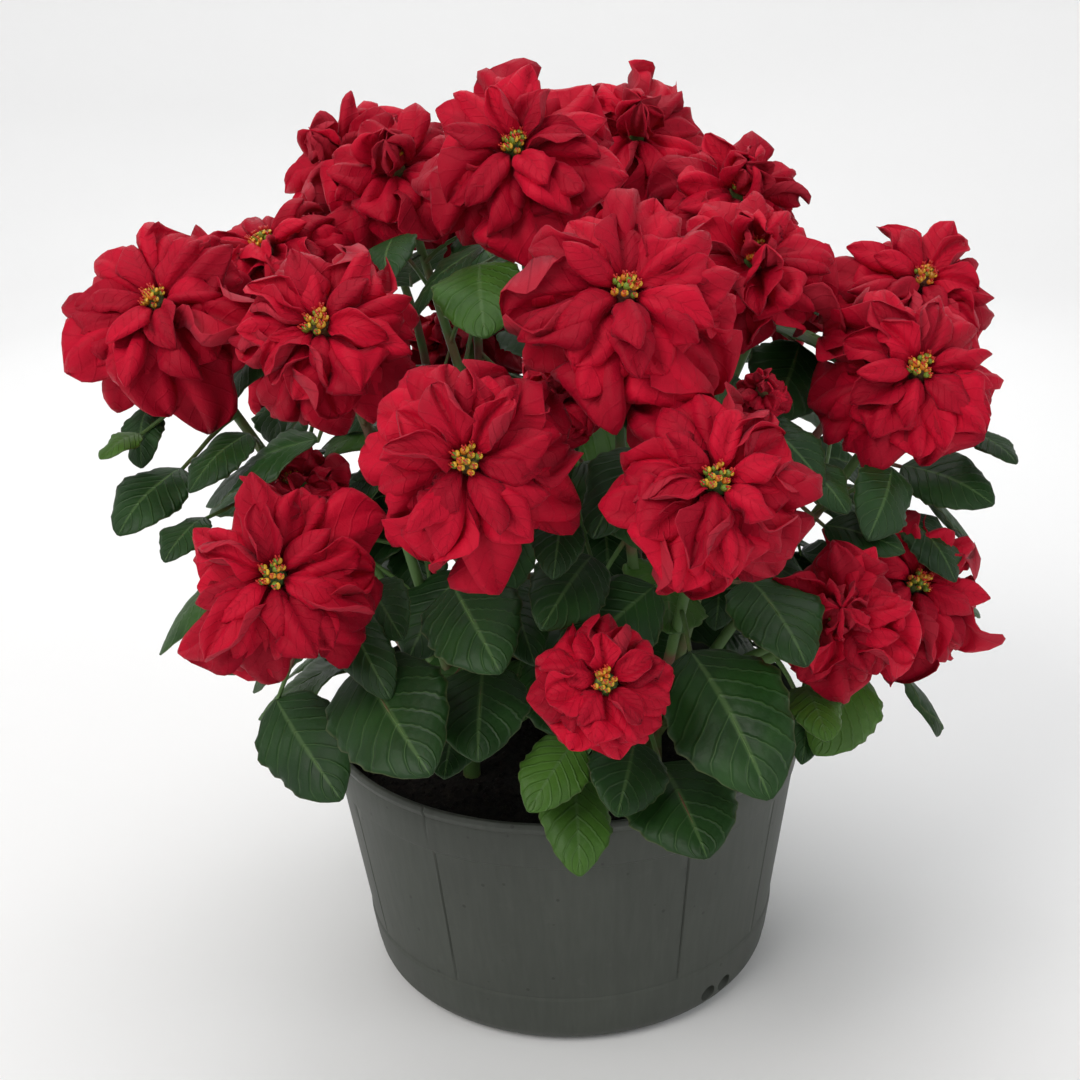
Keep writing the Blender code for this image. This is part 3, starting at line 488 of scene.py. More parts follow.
# Colours
BRACT_DEEP = (0.300, 0.001, 0.014)
BRACT_BRIGHT = (0.560, 0.003, 0.026)
BRACT_VEIN = (0.200, 0.001, 0.010)
BRACT_FOOT = (0.180, 0.001, 0.010)
BRACT_UNDER = (0.400, 0.014, 0.032)
LEAF_DARK = (0.006, 0.026, 0.005)
LEAF_GREEN = (0.018, 0.072, 0.009)
LEAF_YELLOW = (0.056, 0.140, 0.014)
LEAF_VEIN = (0.085, 0.160, 0.050)
LEAF_EDGE = (0.110, 0.120, 0.050)
LEAF_UNDER = (0.050, 0.110, 0.035)
STEM_GREEN = (0.070, 0.140, 0.035)
STEM_RED = (0.150, 0.050, 0.035)
FLORET_GREEN = (0.160, 0.260, 0.025)
FLORET_ORANGE = (0.650, 0.200, 0.015)
FLORET_YELLOW = (0.700, 0.440, 0.025)
FLORET_RED = (0.550, 0.020, 0.012)
POT_DARK = (0.040, 0.045, 0.037)
POT_GREY = (0.062, 0.068, 0.057)
POT_DUST = (0.140, 0.140, 0.125)
POT_SPECK = (0.018, 0.018, 0.016)
PEAT_DARK = (0.005, 0.004, 0.004)
PEAT_BROWN = (0.016, 0.012, 0.010)
FLOOR_PALE = (0.860, 0.862, 0.865)
FLOOR_PALER = (0.875, 0.875, 0.878)

# Lights: name, place, what it points at, size, power in watts and colour
WHITE = (1.0, 1.0, 1.0)
PLANT_MIDDLE = (0.0, 0.0, 0.3)
LIGHTS = (
    ("key", (-1.3, -1.5, 2.1), PLANT_MIDDLE, 1.6, 37.0, (1.0, 0.98, 0.95)),
    ("fill", (1.7, -1.1, 1.3), PLANT_MIDDLE, 1.5, 8.0, (0.95, 0.98, 1.0)),
    ("top", (0.1, 0.5, 2.4), PLANT_MIDDLE, 2.0, 20.0, WHITE),
    ("back", (-0.3, 2.0, 1.6), PLANT_MIDDLE, 1.6, 8.0, WHITE),
    ("wall", (0.0, 1.3, 2.6), (0.0, 3.6, 0.9), 2.4, 26.0, WHITE),
)
SKY_STRENGTH = 0.28


def toward(bearing):
    """Level unit vector that points to a bearing."""
    angle = math.radians(bearing)
    return Vector((math.sin(angle), -math.cos(angle), 0.0))


def millimetres(x, y, z):
    """Place in metres, from millimetres."""
    return Vector((x, y, z)) * MM


def across(direction, wanted):
    """Unit vector nearest to the wanted one that is square to a direction."""
    return (wanted - direction * wanted.dot(direction)).normalized()


def bezier(a, b, c, d, t):
    """Point on a cubic curve."""
    s = 1.0 - t
    return a * s ** 3 + b * (3 * s * s * t) + c * (3 * s * t * t) + d * t ** 3


class Blade:
    """A bract or leaf blade: where it starts, how it arches, and how wide it is along its length."""

    def __init__(self, foot, out, up, length, width, rise, fall, roll, cup, thickness, stops, phase):
        self.foot = foot
        self.out = out
        self.up = across(out, up)
        self.length = length
        self.width = width
        self.rise = math.radians(rise)
        self.fall = math.radians(fall)
        self.roll = math.radians(roll)
        self.cup = cup
        self.thickness = thickness
        self.stops = stops
        self.phase = phase
        self.tone = None

    def spine(self, t):
        """Point on the midrib, with the directions along, across and out of the blade there."""
        bend = self.fall - self.rise
        slope = self.rise + bend * t
        ahead = self.length * (math.sin(slope) - math.sin(self.rise)) / bend
        above = -self.length * (math.cos(slope) - math.cos(self.rise)) / bend
        place = self.foot + self.out * ahead + self.up * above
        along = self.out * math.cos(slope) + self.up * math.sin(slope)
        side = self.out.cross(self.up).normalized()
        turn = Matrix.Rotation(self.roll * min(1.0, 2.0 * t), 3, along)
        side = turn @ side
        return place, side, side.cross(along).normalized()

    def ring(self, number, t, share, swell):
        """Left, top, right and lower point of the blade at a stop along it."""
        place, side, normal = self.spine(t)
        half = 0.5 * self.width * share + swell
        thick = 0.5 * self.thickness + swell
        drop = self.cup * self.width * share
        wave = EDGE_WAVE * self.width * share * math.cos(self.phase + EDGE_WAVE_STEP * number)
        return [place - side * half - normal * (drop + wave), place + normal * thick,
                place + side * half - normal * (drop - wave), place - normal * thick]

    def rings(self, swell=0.0):
        return [self.ring(number, t, share, swell) for number, (t, share) in enumerate(self.stops)]

    def tip(self):
        return self.spine(1.0)[0]

    def probe(self):
        """The blade without its foot, a little larger than life, to test whether it crosses anything."""
        return skin([self.ring(0, *PROBE_STOP, CLEARANCE)] + self.rings(CLEARANCE), self.tip())

    def solid(self):
        return skin([self.ring(0, *PROBE_STOP, 0.0)] + self.rings(), self.tip())


def ring_faces(first, second):
    """Triangles between two rings of four point numbers. Both faces of a blade are split the same way."""
    left, top, right, under = first
    next_left, next_top, next_right, next_under = second
    return [(left, top, next_top), (left, next_top, next_left),
            (top, right, next_right), (top, next_right, next_top),
            (under, next_under, next_right), (under, next_right, right),
            (left, next_left, next_under), (left, next_under, under)]


def blade_faces(foot, first, count, tip):
    """Triangles from a foot ring, through rings numbered in fours from first on, to the tip."""
    faces = []
    ring = foot
    for number in range(count):
        following = tuple(range(first + 4 * number, first + 4 * number + 4))
        faces += ring_faces(ring, following)
        ring = following
    left, top, right, under = ring
    faces += [(left, top, tip), (top, right, tip), (right, under, tip), (under, left, tip)]
    return faces


def skin(rings, tip):
    """Points and triangles of a closed blade from its rings and tip."""
    points = [point for ring in rings for point in ring] + [tip]
    faces = [(0, 2, 1), (0, 3, 2)]
    faces += blade_faces((0, 1, 2, 3), 4, len(rings) - 1, len(points) - 1)
    return points, faces


def tube(path, radii, sides):
    """Points and triangles of a closed tube along a path, square to it at both ends."""
    points = []
    faces = []
    level = ASIDE
    for number, place in enumerate(path):
        before = path[max(0, number - 1)]
        after = path[min(len(path) - 1, number + 1)]
        along = (after - before).normalized()
        level = across(along, level)
        other = along.cross(level)
        for corner in range(sides):
            angle = 2 * math.pi * corner / sides
            offset = level * math.cos(angle) + other * math.sin(angle)
            points.append(place + offset * radii[number])
    for ring in range(len(path) - 1):
        for corner in range(sides):
            a = ring * sides + corner
            b = ring * sides + (corner + 1) % sides
            faces += [(a, b, b + sides), (a, b + sides, a + sides)]
    last = (len(path) - 1) * sides
    for corner in range(1, sides - 1):
        faces.append((0, corner + 1, corner))
        faces.append((last, last + corner, last + corner + 1))
    return points, faces


class Head:
    """A red head: the place of its flowers, its axis, and the branch that carries it."""

    def __init__(self, number, row):
        plant, x, y, z, radius, lean, bearing = row
        self.number = number
        self.plant = plant
        self.place = millimetres(x, y, z)
        self.radius = radius * MM
        tilt = math.radians(lean)
        self.axis = toward(bearing) * math.sin(tilt) + Vector((0, 0, 1)) * math.cos(tilt)
        self.level = across(self.axis, toward(bearing))
        self.bud = self.radius < BUD_RADIUS
        self.sides = BRACTS_ROUND_LARGE if self.radius >= LARGE_HEAD else BRACTS_ROUND_MIDDLING
        if self.radius < SMALL_HEAD:
            self.sides = BRACTS_ROUND_SMALL
        self.scale = BUD_SCALE if self.bud else 1.0
        self.name = "bud" if self.bud else "head_%02d" % number

    def spoke(self, bearing):
        """Direction square to the axis, at an angle round it."""
        return Matrix.Rotation(math.radians(bearing), 3, self.axis) @ self.level


def stem_foot(plant):
    """Where a plant's main stem stands, at height 0."""
    bearing, reach = PLANTS[plant]
    return toward(bearing) * reach * MM


def branch_path(head, order):
    """Points on the branch from the plant's main stem up to just under the head."""
    start = stem_foot(head.plant) + Vector((0, 0, STEM_TOP - FIRST_BRANCH_DROP - BRANCH_DROP * order))
    end = head.place - head.axis * (HUB_DEPTH + GAP)
    span = (end - start).length
    outward = Vector((end.x - start.x, end.y - start.y, 0.0)) / span
    climb = (outward * BRANCH_SPREAD + Vector((0, 0, BRANCH_CLIMB))).normalized()
    first = start + climb * span * BRANCH_SWING
    second = end - head.axis * span * BRANCH_APPROACH
    path = [bezier(start, first, second, end, step / BRANCH_STEPS) for step in range(BRANCH_STEPS)]
    path.append(end - head.axis * BRANCH_END)
    path.append(end)
    return path


def along_path(path, share):
    """Point at a share of the length of a path."""
    left = share * sum((b - a).length for a, b in zip(path, path[1:]))
    for a, b in zip(path, path[1:]):
        span = (b - a).length
        if left <= span:
            return a.lerp(b, left / span)
        left -= span
    return path[-1]


class Obstacles:
    """What is already placed, so that a new blade can be tested against every other node."""

    def __init__(self):
        self.items = []

    def add(self, node, points, faces):
        middle = sum(points, Vector()) / len(points)
        reach = max((point - middle).length for point in points)
        self.items.append((node, middle, reach, BVHTree.FromPolygons(points, faces)))

    def hit(self, allowed, points, faces):
        """True where a solid crosses any piece apart from the allowed one."""
        middle = sum(points, Vector()) / len(points)
        reach = max((point - middle).length for point in points)
        tree = BVHTree.FromPolygons(points, faces)
        for other, centre, size, branch in self.items:
            near = (centre - middle).length < reach + size
            if other != allowed and near and tree.overlap(branch):
                return True
        return False


def hub_solid(head):
    """The green head by itself, to keep other nodes clear of it."""
    ends = [head.place - head.axis * HUB_DEPTH, head.place - head.axis * HUB_SHOULDER, head.place]
    return tube(ends, HUB_CLEAR_RADII, head.sides)


def bract(head, row, number, droop, shrink):
    """One bract of a head, as a blade."""
    ring, length, width, rise, fall, roll, offset, cup = BRACT_ROWS[row]
    chance = random.Random(SEED + 1000 * row + 40 * head.number + number)
    turn = 360.0 * number / head.sides + HEAD_TWIST * head.number + offset
    spoke = head.spoke(turn + TURN_SPREAD * (chance.random() - 0.5))
    scale = head.radius * shrink
    depth = 0.5 * (HUB_RINGS[ring][0] + HUB_RINGS[ring + 1][0]) * MM
    foot = head.place + head.axis * depth + spoke * HUB_RINGS[ring][1] * ROOT_SHARE * head.scale * MM
    stops = INNER_BRACT_STOPS if ring == 5 else BRACT_STOPS
    vary = 1.0 + SIZE_SPREAD * (chance.random() - 0.5)
    lean = LEAN_SPREAD * (chance.random() - 0.5)
    phase = chance.random() * ANY_PHASE
    wide = scale * width * BRACTS_ROUND_LARGE / head.sides
    return Blade(foot, spoke, head.axis, scale * length * vary, wide, rise + lean - FOOT_DROOP * droop,
                 fall + lean - droop, roll, cup, BRACT_THICKNESS, stops, phase)


def place_bracts(heads, taken):
    """Bracts of every head, inner rows first, each drooped or shortened until it clears all the others."""
    placed = {}
    for row in reversed(range(len(BRACT_ROWS))):
        for head in heads:
            for number in range(head.sides):
                for droop, shrink in BRACT_TRIES:
                    blade = bract(head, row, number, droop, shrink)
                    if not taken.hit(head.name, *blade.probe()):
                        break
                placed[head.name, row, number] = blade
                taken.add(head.name + "_bract", *blade.solid())
    return placed


def leaf(foot, tip, width, roll, phase, facing):
    """A leaf blade from its foot to its tip, bowed up between them, whose upper side looks up and facing."""
    out = (tip - foot).normalized()
    level = Vector((foot.x + tip.x, foot.y + tip.y, 0.0)).normalized()
    up = across(out, level * LEAF_FACES_OUT + facing + Vector((0, 0, 1.0)))
    angle = math.radians(LEAF_BOW)
    length = (tip - foot).length * angle / math.sin(angle)
    return Blade(foot, out, up, length, width, LEAF_BOW, -LEAF_BOW, roll, LEAF_CUP, LEAF_THICKNESS,
                 LEAF_STOPS, phase)


def stalk_starts(blade, paths):
    """Points of the branches where the stalk of a leaf could start, nearest first."""
    points = [along_path(path, share) for path in paths for share in STALK_SHARES]
    fitting = [point for point in points
               if LEAST_STALK < (point - blade.foot).length < STALK_REACH and bends_gently(point, blade)]
    return sorted(fitting, key=lambda point: (point - blade.foot).length)[:STALK_CHOICES]


def stalk_ring(place, ahead, blade, radius):
    """Four points round a stalk, square to the way it runs and turned as the blade is."""
    side = across(ahead, blade.out.cross(blade.up))
    rise = side.cross(ahead)
    return [place - side * radius, place + rise * radius, place + side * radius, place - rise * radius]


def leaf_solid(start, blade, swell=0.0):
    """A leaf with its stalk, in one skin that starts inside the branch."""
    ahead = (blade.foot - start).normalized()
    turn = (ahead + blade.out).normalized()
    rings = [stalk_ring(start, ahead, blade, STALK_RADIUS + swell),
             stalk_ring(blade.foot, turn, blade, STALK_RADIUS * STALK_TAPER + swell)]
    return skin(rings + blade.rings(swell), blade.tip())


def bends_gently(start, blade):
    """True where the stalk neither doubles back nor runs sideways into the blade."""
    ahead = (blade.foot - start).normalized()
    aside = abs(ahead.dot(blade.out.cross(blade.up)))
    return ahead.dot(blade.out) > LEAST_AHEAD and aside < MOST_ASIDE


def leaf_tries(foot, tip, width):
    """The wanted leaf first, then lower, shorter, shifted and turned versions of it."""
    span = tip - foot
    side = span.cross(Vector((0, 0, 1))).normalized()
    for lower, turn, shrink, shift in LEAF_TRIES:
        moved = Matrix.Rotation(math.radians(-lower), 3, side) @ (span * shrink)
        moved = Matrix.Rotation(math.radians(turn), 3, "Z") @ moved
        start = foot + Vector((0, 0, shift * MM))
        yield start, start + moved, width * shrink


def add_leaf(plant, foot, tip, width, facing, paths, taken, leaves, chance):
    """Put a leaf on the nearest of some branches, if one of its versions clears everything else."""
    node = "plant_%d" % (plant + 1)
    roll = chance.uniform(-LEAF_ROLL, LEAF_ROLL)
    phase = chance.uniform(0, 2 * math.pi)
    for base, end, wide in leaf_tries(foot, tip, width):
        blade = leaf(base, end, wide, roll, phase, facing)
        for start in stalk_starts(blade, paths):
            solid = leaf_solid(start, blade, CLEARANCE)
            clear = min(point.z for point in solid[0]) > LEAST_LEAF_HEIGHT
            if clear and not taken.hit(node, *solid):
                leaves[plant].append((blade, start))
                taken.add(node + "_leaf", *leaf_solid(start, blade))
                return True
    return False


def over_pot(point):
    """True where a point is inside the rim or well above it, so that a leaf there clears the pot."""
    reach = math.hypot(point.x, point.y)
    return point.z > POT_HEIGHT + CLEAR_OF_RIM or reach > RIM_RADIUS + CLEAR_OF_WALL


def in_front(point):
    """True where a leaf that follows the rule would cover what the front shows."""
    bearing = math.degrees(math.atan2(point.x, -point.y))
    return abs(bearing) < FRONT_BEARING and math.hypot(point.x, point.y) > FRONT_REACH


def nearest_plant(bearing):
    """The plant whose main stem stands nearest to a bearing, apart from the middle one."""
    return max(range(1, len(PLANTS)), key=lambda plant: toward(bearing).dot(toward(PLANTS[plant][0])))


def place_front_leaves(branches, taken, leaves, chance):
    """The leaves that the photo shows, one by one."""
    for number, (plant, x, y, z, tip_x, tip_y, tip_z, width) in enumerate(FRONT_LEAVES):
        if add_leaf(plant, millimetres(x, y, z), millimetres(tip_x, tip_y, tip_z), width * MM,
                    toward(0) * FACES_FRONT, branches[plant], taken, leaves, chance):
            leaves[plant][-1][0].tone = FRESH_LEAVES.get(number, DARK_TONE)


def place_tiers(branches, taken, leaves, chance):
    """The leaves that hang over the rim at the sides and the back, in tiers."""
    for first, last, step, foot_reach, foot_height, tip_reach, tip_height, width in TIERS:
        for bearing in range(first, last + 1, step):
            foot_bearing = bearing + chance.uniform(-TIER_SHIFT, TIER_SHIFT)
            tip_bearing = foot_bearing + chance.uniform(-TIER_TURN, TIER_TURN)
            foot = toward(foot_bearing) * foot_reach * MM + Vector((0, 0, foot_height * MM))
            tip = toward(tip_bearing) * tip_reach * MM + Vector((0, 0, tip_height * MM))
            plant = nearest_plant(bearing)
            add_leaf(plant, foot, tip, width * MM, toward(bearing) * FACES_OUT, branches[plant], taken,
                     leaves, chance)


def place_branch_leaves(heads, paths, taken, leaves, chance):
    """Leaves that stand round each branch, one at each station."""
    for station, (share, length) in enumerate(LEAF_STATIONS):
        for head in heads:
            path = paths[head.name]
            start = along_path(path, share)
            above = along_path(path, min(1.0, share + STATION_STEP))
            ahead = (above - along_path(path, share - STATION_STEP)).normalized()
            outward = Vector((start.x, start.y, 0.0)).normalized()
            first_turn = head.number * HEAD_TURN + station * GOLDEN_ANGLE
            first_turn += chance.uniform(-STATION_TURN, STATION_TURN)
            for turn in LEAF_TURNS:
                spoke = Matrix.Rotation(math.radians(first_turn + turn), 3, ahead) @ across(ahead, head.level)
                reach = (spoke + outward * LEAF_SPREAD - Vector((0, 0, LEAF_SAG))).normalized()
                foot = start + (reach + ahead * STALK_AHEAD).normalized() * length * STALK_SHARE * MM
                tip = foot + (reach - Vector((0, 0, LEAF_DROOP))).normalized() * length * MM
                fits = over_pot(tip) and not in_front(tip)
                if fits and add_leaf(head.plant, foot, tip, length * LEAF_WIDTH_SHARE * MM, Vector(), [path],
                                     taken, leaves, chance):
                    break


def place_shade_leaf(row, branches, taken, leaves, chance):
    """A small leaf deep in the plant, at the first depth and on the first plant where it fits."""
    first, x, y, z, tip_x, tip_y, tip_z, width = row
    foot = millimetres(x, y, z)
    tip = millimetres(tip_x, tip_y, tip_z)
    sight = (foot - Vector(CAMERA_PLACE)).normalized() * MM
    for depth in SHADE_DEPTHS:
        for plant in sorted(leaves, key=lambda plant: plant != first):
            if add_leaf(plant, foot + sight * depth, tip + sight * depth, width * MM,
                        toward(0) * FACES_FRONT, branches[plant], taken, leaves, chance):
                leaves[plant][-1][0].tone = DARK_TONE
                return


def place_leaves(heads, paths, taken):
    """Leaves of every plant, each as its blade and the point of a branch where its stalk starts."""
    leaves = {plant: [] for plant in range(len(PLANTS))}
    branches = {plant: [paths[head.name] for head in heads if head.plant == plant] for plant in leaves}
    chance = random.Random(SEED)
    place_front_leaves(branches, taken, leaves, chance)
    place_tiers(branches, taken, leaves, chance)
    place_branch_leaves(heads, paths, taken, leaves, chance)
    chance = random.Random(SEED + 5)
    for row in SHADE_LEAVES:
        place_shade_leaf(row, branches, taken, leaves, chance)
    return leaves


def flower_scale(head):
    """Size of a head's small flowers, as a share of the usual size."""
    return head.scale * (SMALL_FLOWERS if head.radius < LEAST_FULL_HEAD else 1.0)


def flower_solid(head):
    """Cluster of small flowers: five lobes round a dip, a few tenths of a millimetre above the head."""
    scale = flower_scale(head)
    points = []
    faces = []
    lobes = 2 * FLOWER_LOBES
    for height, peak, valley in FLOWER_RINGS:
        centre = head.place + head.axis * (GAP + height * scale * MM)
        for corner in range(lobes):
            radius = valley if corner % 2 else peak
            points.append(centre + head.spoke(360.0 * corner / lobes) * radius * scale * MM)
    for ring in range(len(FLOWER_RINGS) - 1):
        for corner in range(lobes):
            a = ring * lobes + corner
            b = ring * lobes + (corner + 1) % lobes
            faces += [(a, b, b + lobes), (a, b + lobes, a + lobes)]
    last = (len(FLOWER_RINGS) - 1) * lobes
    points.append(head.place + head.axis * (GAP + FLOWER_DIP * scale * MM))
    for corner in range(lobes):
        faces.append((last + corner, last + (corner + 1) % lobes, len(points) - 1))
        if 0 < corner < lobes - 1:
            faces.append((0, corner + 1, corner))
    return points, faces


def layout():
    """Everything that grows: heads, branches, bracts and leaves, with nothing crossing another node."""
    heads = [Head(number, row) for number, row in enumerate(HEADS, 1)]
    taken = Obstacles()
    paths = {}
    for plant in range(len(PLANTS)):
        own = sorted((head for head in heads if head.plant == plant), key=lambda head: head.place.z)
        for order, head in enumerate(own):
            paths[head.name] = branch_path(head, order)
            taken.add("plant_%d" % (plant + 1), *branch_solid(paths[head.name]))
        taken.add("plant_%d" % (plant + 1), *stem_solid(plant))
    for head in heads:
        taken.add(head.name, *hub_solid(head))
        if not head.bud:
            taken.add("flowers_%02d" % head.number, *flower_solid(head))
    bracts = place_bracts(heads, taken)
    leaves = place_leaves(heads, paths, taken)
    return heads, paths, bracts, leaves


def branch_solid(path):
    """Branch that thins towards its head."""
    steps = len(path) - 1
    radii = [BRANCH_RADIUS * (THICK_FOOT - THINNING * step / steps) for step in range(steps + 1)]
    return tube(path, radii, BRANCH_SIDES)


def stem_solid(plant):
    """Main stem of a plant, from the hole in the soil up to its branches."""
    foot = stem_foot(plant)
    path = [foot + Vector((0, 0, height)) for height in (STEM_ROOT, SOIL_EDGE_TOP + STEM_CLEAR, STEM_TOP)]
    return tube(path, [STEM_RADIUS, STEM_RADIUS, STEM_RADIUS * STEM_TAPER], STEM_SIDES)


def band_radius(height):
    """Outer radius of the hoops at a height: the pot's taper without its foot's rounding."""
    return RIM_RADIUS - TAPER * (POT_HEIGHT - height)


class Number:
    """A number in a node tree, so that a formula can be written with the signs of plain arithmetic."""

    def __init__(self, tree, socket):
        self.tree = tree
        self.socket = socket

    def _math(self, operation, first, second=0.0, third=0.0):
        node = self.tree.nodes.new("ShaderNodeMath")
        node.operation = operation
        for place, value in zip(node.inputs, (first, second, third)):
            feed(self.tree, place, value)
        return Number(self.tree, node.outputs[0])

    def __add__(self, other):
        return self._math("ADD", self, other)

    def __radd__(self, other):
        return self._math("ADD", other, self)

    def __sub__(self, other):
        return self._math("SUBTRACT", self, other)

    def __rsub__(self, other):
        return self._math("SUBTRACT", other, self)

    def __mul__(self, other):
        return self._math("MULTIPLY", self, other)

    def __truediv__(self, other):
        return self._math("DIVIDE", self, other)

    def __pow__(self, other):
        return self._math("POWER", self, other)

    def sine(self):
        return self._math("SINE", self)

    def cosine(self):
        return self._math("COSINE", self)

    def size(self):
        return self._math("ABSOLUTE", self)

    def least(self, other):
        return self._math("MINIMUM", self, other)

    def most(self, other):
        return self._math("MAXIMUM", self, other)

    def ramp(self, low, high):
        """0 below one value, 1 above the other and smooth between them."""
        node = self.tree.nodes.new("ShaderNodeMapRange")
        node.interpolation_type = "SMOOTHSTEP"
        feed(self.tree, node.inputs["Value"], self)
        feed(self.tree, node.inputs["From Min"], low)
        feed(self.tree, node.inputs["From Max"], high)
        return Number(self.tree, node.outputs["Result"])


class Arrow:
    """A vector in a node tree."""

    def __init__(self, tree, socket):
        self.tree = tree
        self.socket = socket

    def _math(self, operation, other=None, factor=None, output="Vector"):
        node = self.tree.nodes.new("ShaderNodeVectorMath")
        node.operation = operation
        feed(self.tree, node.inputs[0], self)
        if other is not None:
            feed(self.tree, node.inputs[1], other)
        if factor is not None:
            feed(self.tree, node.inputs["Scale"], factor)
        return node.outputs[output]

    def __add__(self, other):
        return Arrow(self.tree, self._math("ADD", other))

    def __sub__(self, other):
        return Arrow(self.tree, self._math("SUBTRACT", other))

    def __mul__(self, factor):
        return Arrow(self.tree, self._math("SCALE", factor=factor))

    def cross(self, other):
        return Arrow(self.tree, self._math("CROSS_PRODUCT", other))

    def unit(self):
        return Arrow(self.tree, self._math("NORMALIZE"))

    def turned(self, axis, angle):
        node = self.tree.nodes.new("ShaderNodeVectorRotate")
        feed(self.tree, node.inputs["Vector"], self)
        feed(self.tree, node.inputs["Axis"], axis)
        feed(self.tree, node.inputs["Angle"], angle)
        return Arrow(self.tree, node.outputs["Vector"])

    def parts(self):
        node = self.tree.nodes.new("ShaderNodeSeparateXYZ")
        feed(self.tree, node.inputs[0], self)
        return [Number(self.tree, output) for output in node.outputs]


def feed(tree, place, value):
    """Link a value into a socket, or set it there if it is plain."""
    if isinstance(value, (Number, Arrow)):
        tree.links.new(value.socket, place)
    elif isinstance(value, bpy.types.NodeSocket):
        tree.links.new(value, place)
    else:
        place.default_value = value


class GeometryTree:
    """A Geometry Nodes tree with named inputs, and short ways to add the nodes that the pieces need."""

    KINDS = {int: "NodeSocketInt", float: "NodeSocketFloat"}

    def __init__(self, name, **inputs):
        self.tree = bpy.data.node_groups.new(name, "GeometryNodeTree")
        face = self.tree.interface
        face.new_socket(name="Geometry", in_out="INPUT", socket_type="NodeSocketGeometry")
        for label, value in inputs.items():
            item = face.new_socket(name=label.replace("_", " ").capitalize(), in_out="INPUT",
                                   socket_type=self.KINDS[type(value)])
            item.default_value = value
        face.new_socket(name="Material", in_out="INPUT", socket_type="NodeSocketMaterial")
        face.new_socket(name="Geometry", in_out="OUTPUT", socket_type="NodeSocketGeometry")
        self.given = self.tree.nodes.new("NodeGroupInput")

    def number(self, label):
        return Number(self.tree, self.given.outputs[label])

    def node(self, kind, **places):
        """A node with its inputs fed by name, with _ for a space."""
        node = self.tree.nodes.new(kind)
        for label, value in places.items():
            feed(self.tree, node.inputs[label.replace("_", " ")], value)
        return node

    def store(self, geometry, name, value, kind="FLOAT", domain="POINT"):
        node = self.tree.nodes.new("GeometryNodeStoreNamedAttribute")
        node.data_type = kind
        node.domain = domain
        feed(self.tree, node.inputs["Geometry"], geometry)
        node.inputs["Name"].default_value = name
        feed(self.tree, node.inputs["Value"], value)
        return node.outputs[0]

    def named(self, name, kind="FLOAT"):
        node = self.tree.nodes.new("GeometryNodeInputNamedAttribute")
        node.data_type = kind
        node.inputs["Name"].default_value = name
        return (Arrow if kind == "FLOAT_VECTOR" else Number)(self.tree, node.outputs["Attribute"])

    def join(self, *geometries):
        node = self.tree.nodes.new("GeometryNodeJoinGeometry")
        for geometry in geometries:
            self.tree.links.new(geometry, node.inputs[0])
        return node.outputs[0]

    def finish(self, geometry):
        """Close the tree: plain geometry with the material on it."""
        real = self.node("GeometryNodeRealizeInstances", Geometry=geometry)
        painted = self.node("GeometryNodeSetMaterial", Geometry=real.outputs[0],
                            Material=self.given.outputs["Material"])
        end = self.tree.nodes.new("NodeGroupOutput")
        self.tree.links.new(painted.outputs[0], end.inputs[0])
        return self.tree


def linked(name, mesh):
    """New object in the scene."""
    thing = bpy.data.objects.new(name, mesh)
    bpy.context.scene.collection.objects.link(thing)
    return thing


def grown(name, tree, start, **inputs):
    """Plain mesh object that a Geometry Nodes tree makes from a starting mesh."""
    thing = linked(name, start)
    modifier = thing.modifiers.new("Grow", "NODES")
    modifier.node_group = tree
    known = {item.name: item.identifier for item in tree.interface.items_tree
             if item.item_type == "SOCKET" and item.in_out == "INPUT"}
    for label, value in inputs.items():
        modifier[known[label.replace("_", " ").capitalize()]] = value
    graph = bpy.context.evaluated_depsgraph_get()
    result = bpy.data.meshes.new_from_object(thing.evaluated_get(graph))
    thing.modifiers.remove(modifier)
    thing.data = result
    result.name = name
    return thing


def point_mesh(name, points, numbers, arrows, edges=()):
    """Mesh of loose points that carry named numbers and vectors into a tree."""
    mesh = bpy.data.meshes.new(name + "_points")
    mesh.from_pydata([tuple(point) for point in points], list(edges), [])
    for label, values in numbers.items():
        mesh.attributes.new(label, "FLOAT", "POINT").data.foreach_set("value", values)
    for label, values in arrows.items():
        flat = [part for value in values for part in value]
        mesh.attributes.new(label, "FLOAT_VECTOR", "POINT").data.foreach_set("vector", flat)
    return mesh


def vein_wave(along, across, count, slant):
    """0 on each side vein and 1 midway between two, for a blade's own lengthwise and crosswise places."""
    return ((along * count - across.size() * slant) * math.pi).sine().size()


def blade_slabs(plan):
    """A flat slab on each point, whose own points know their place along, across and through the blade."""
    slab = plan.node("GeometryNodeMeshCube", Size=(1.0, 1.0, 1.0), Vertices_X=plan.number("Along"),
                     Vertices_Y=plan.number("Across"), Vertices_Z=2)
    x, y, z = Arrow(plan.tree, plan.node("GeometryNodeInputPosition").outputs[0]).parts()
    geometry = plan.store(slab.outputs[0], "along", x + 0.5)
    geometry = plan.store(geometry, "across", y * 2.0)
    geometry = plan.store(geometry, "layer", z * 2.0)
    flat = plan.node("ShaderNodeCombineXYZ", X=x + 0.5, Y=y + 0.5, Z=0.0)
    geometry = plan.store(geometry, "UVMap", flat.outputs[0], "FLOAT2", "CORNER")
    many = plan.node("GeometryNodeInstanceOnPoints", Points=plan.given.outputs["Geometry"], Instance=geometry)
    return plan.node("GeometryNodeRealizeInstances", Geometry=many.outputs[0]).outputs[0]


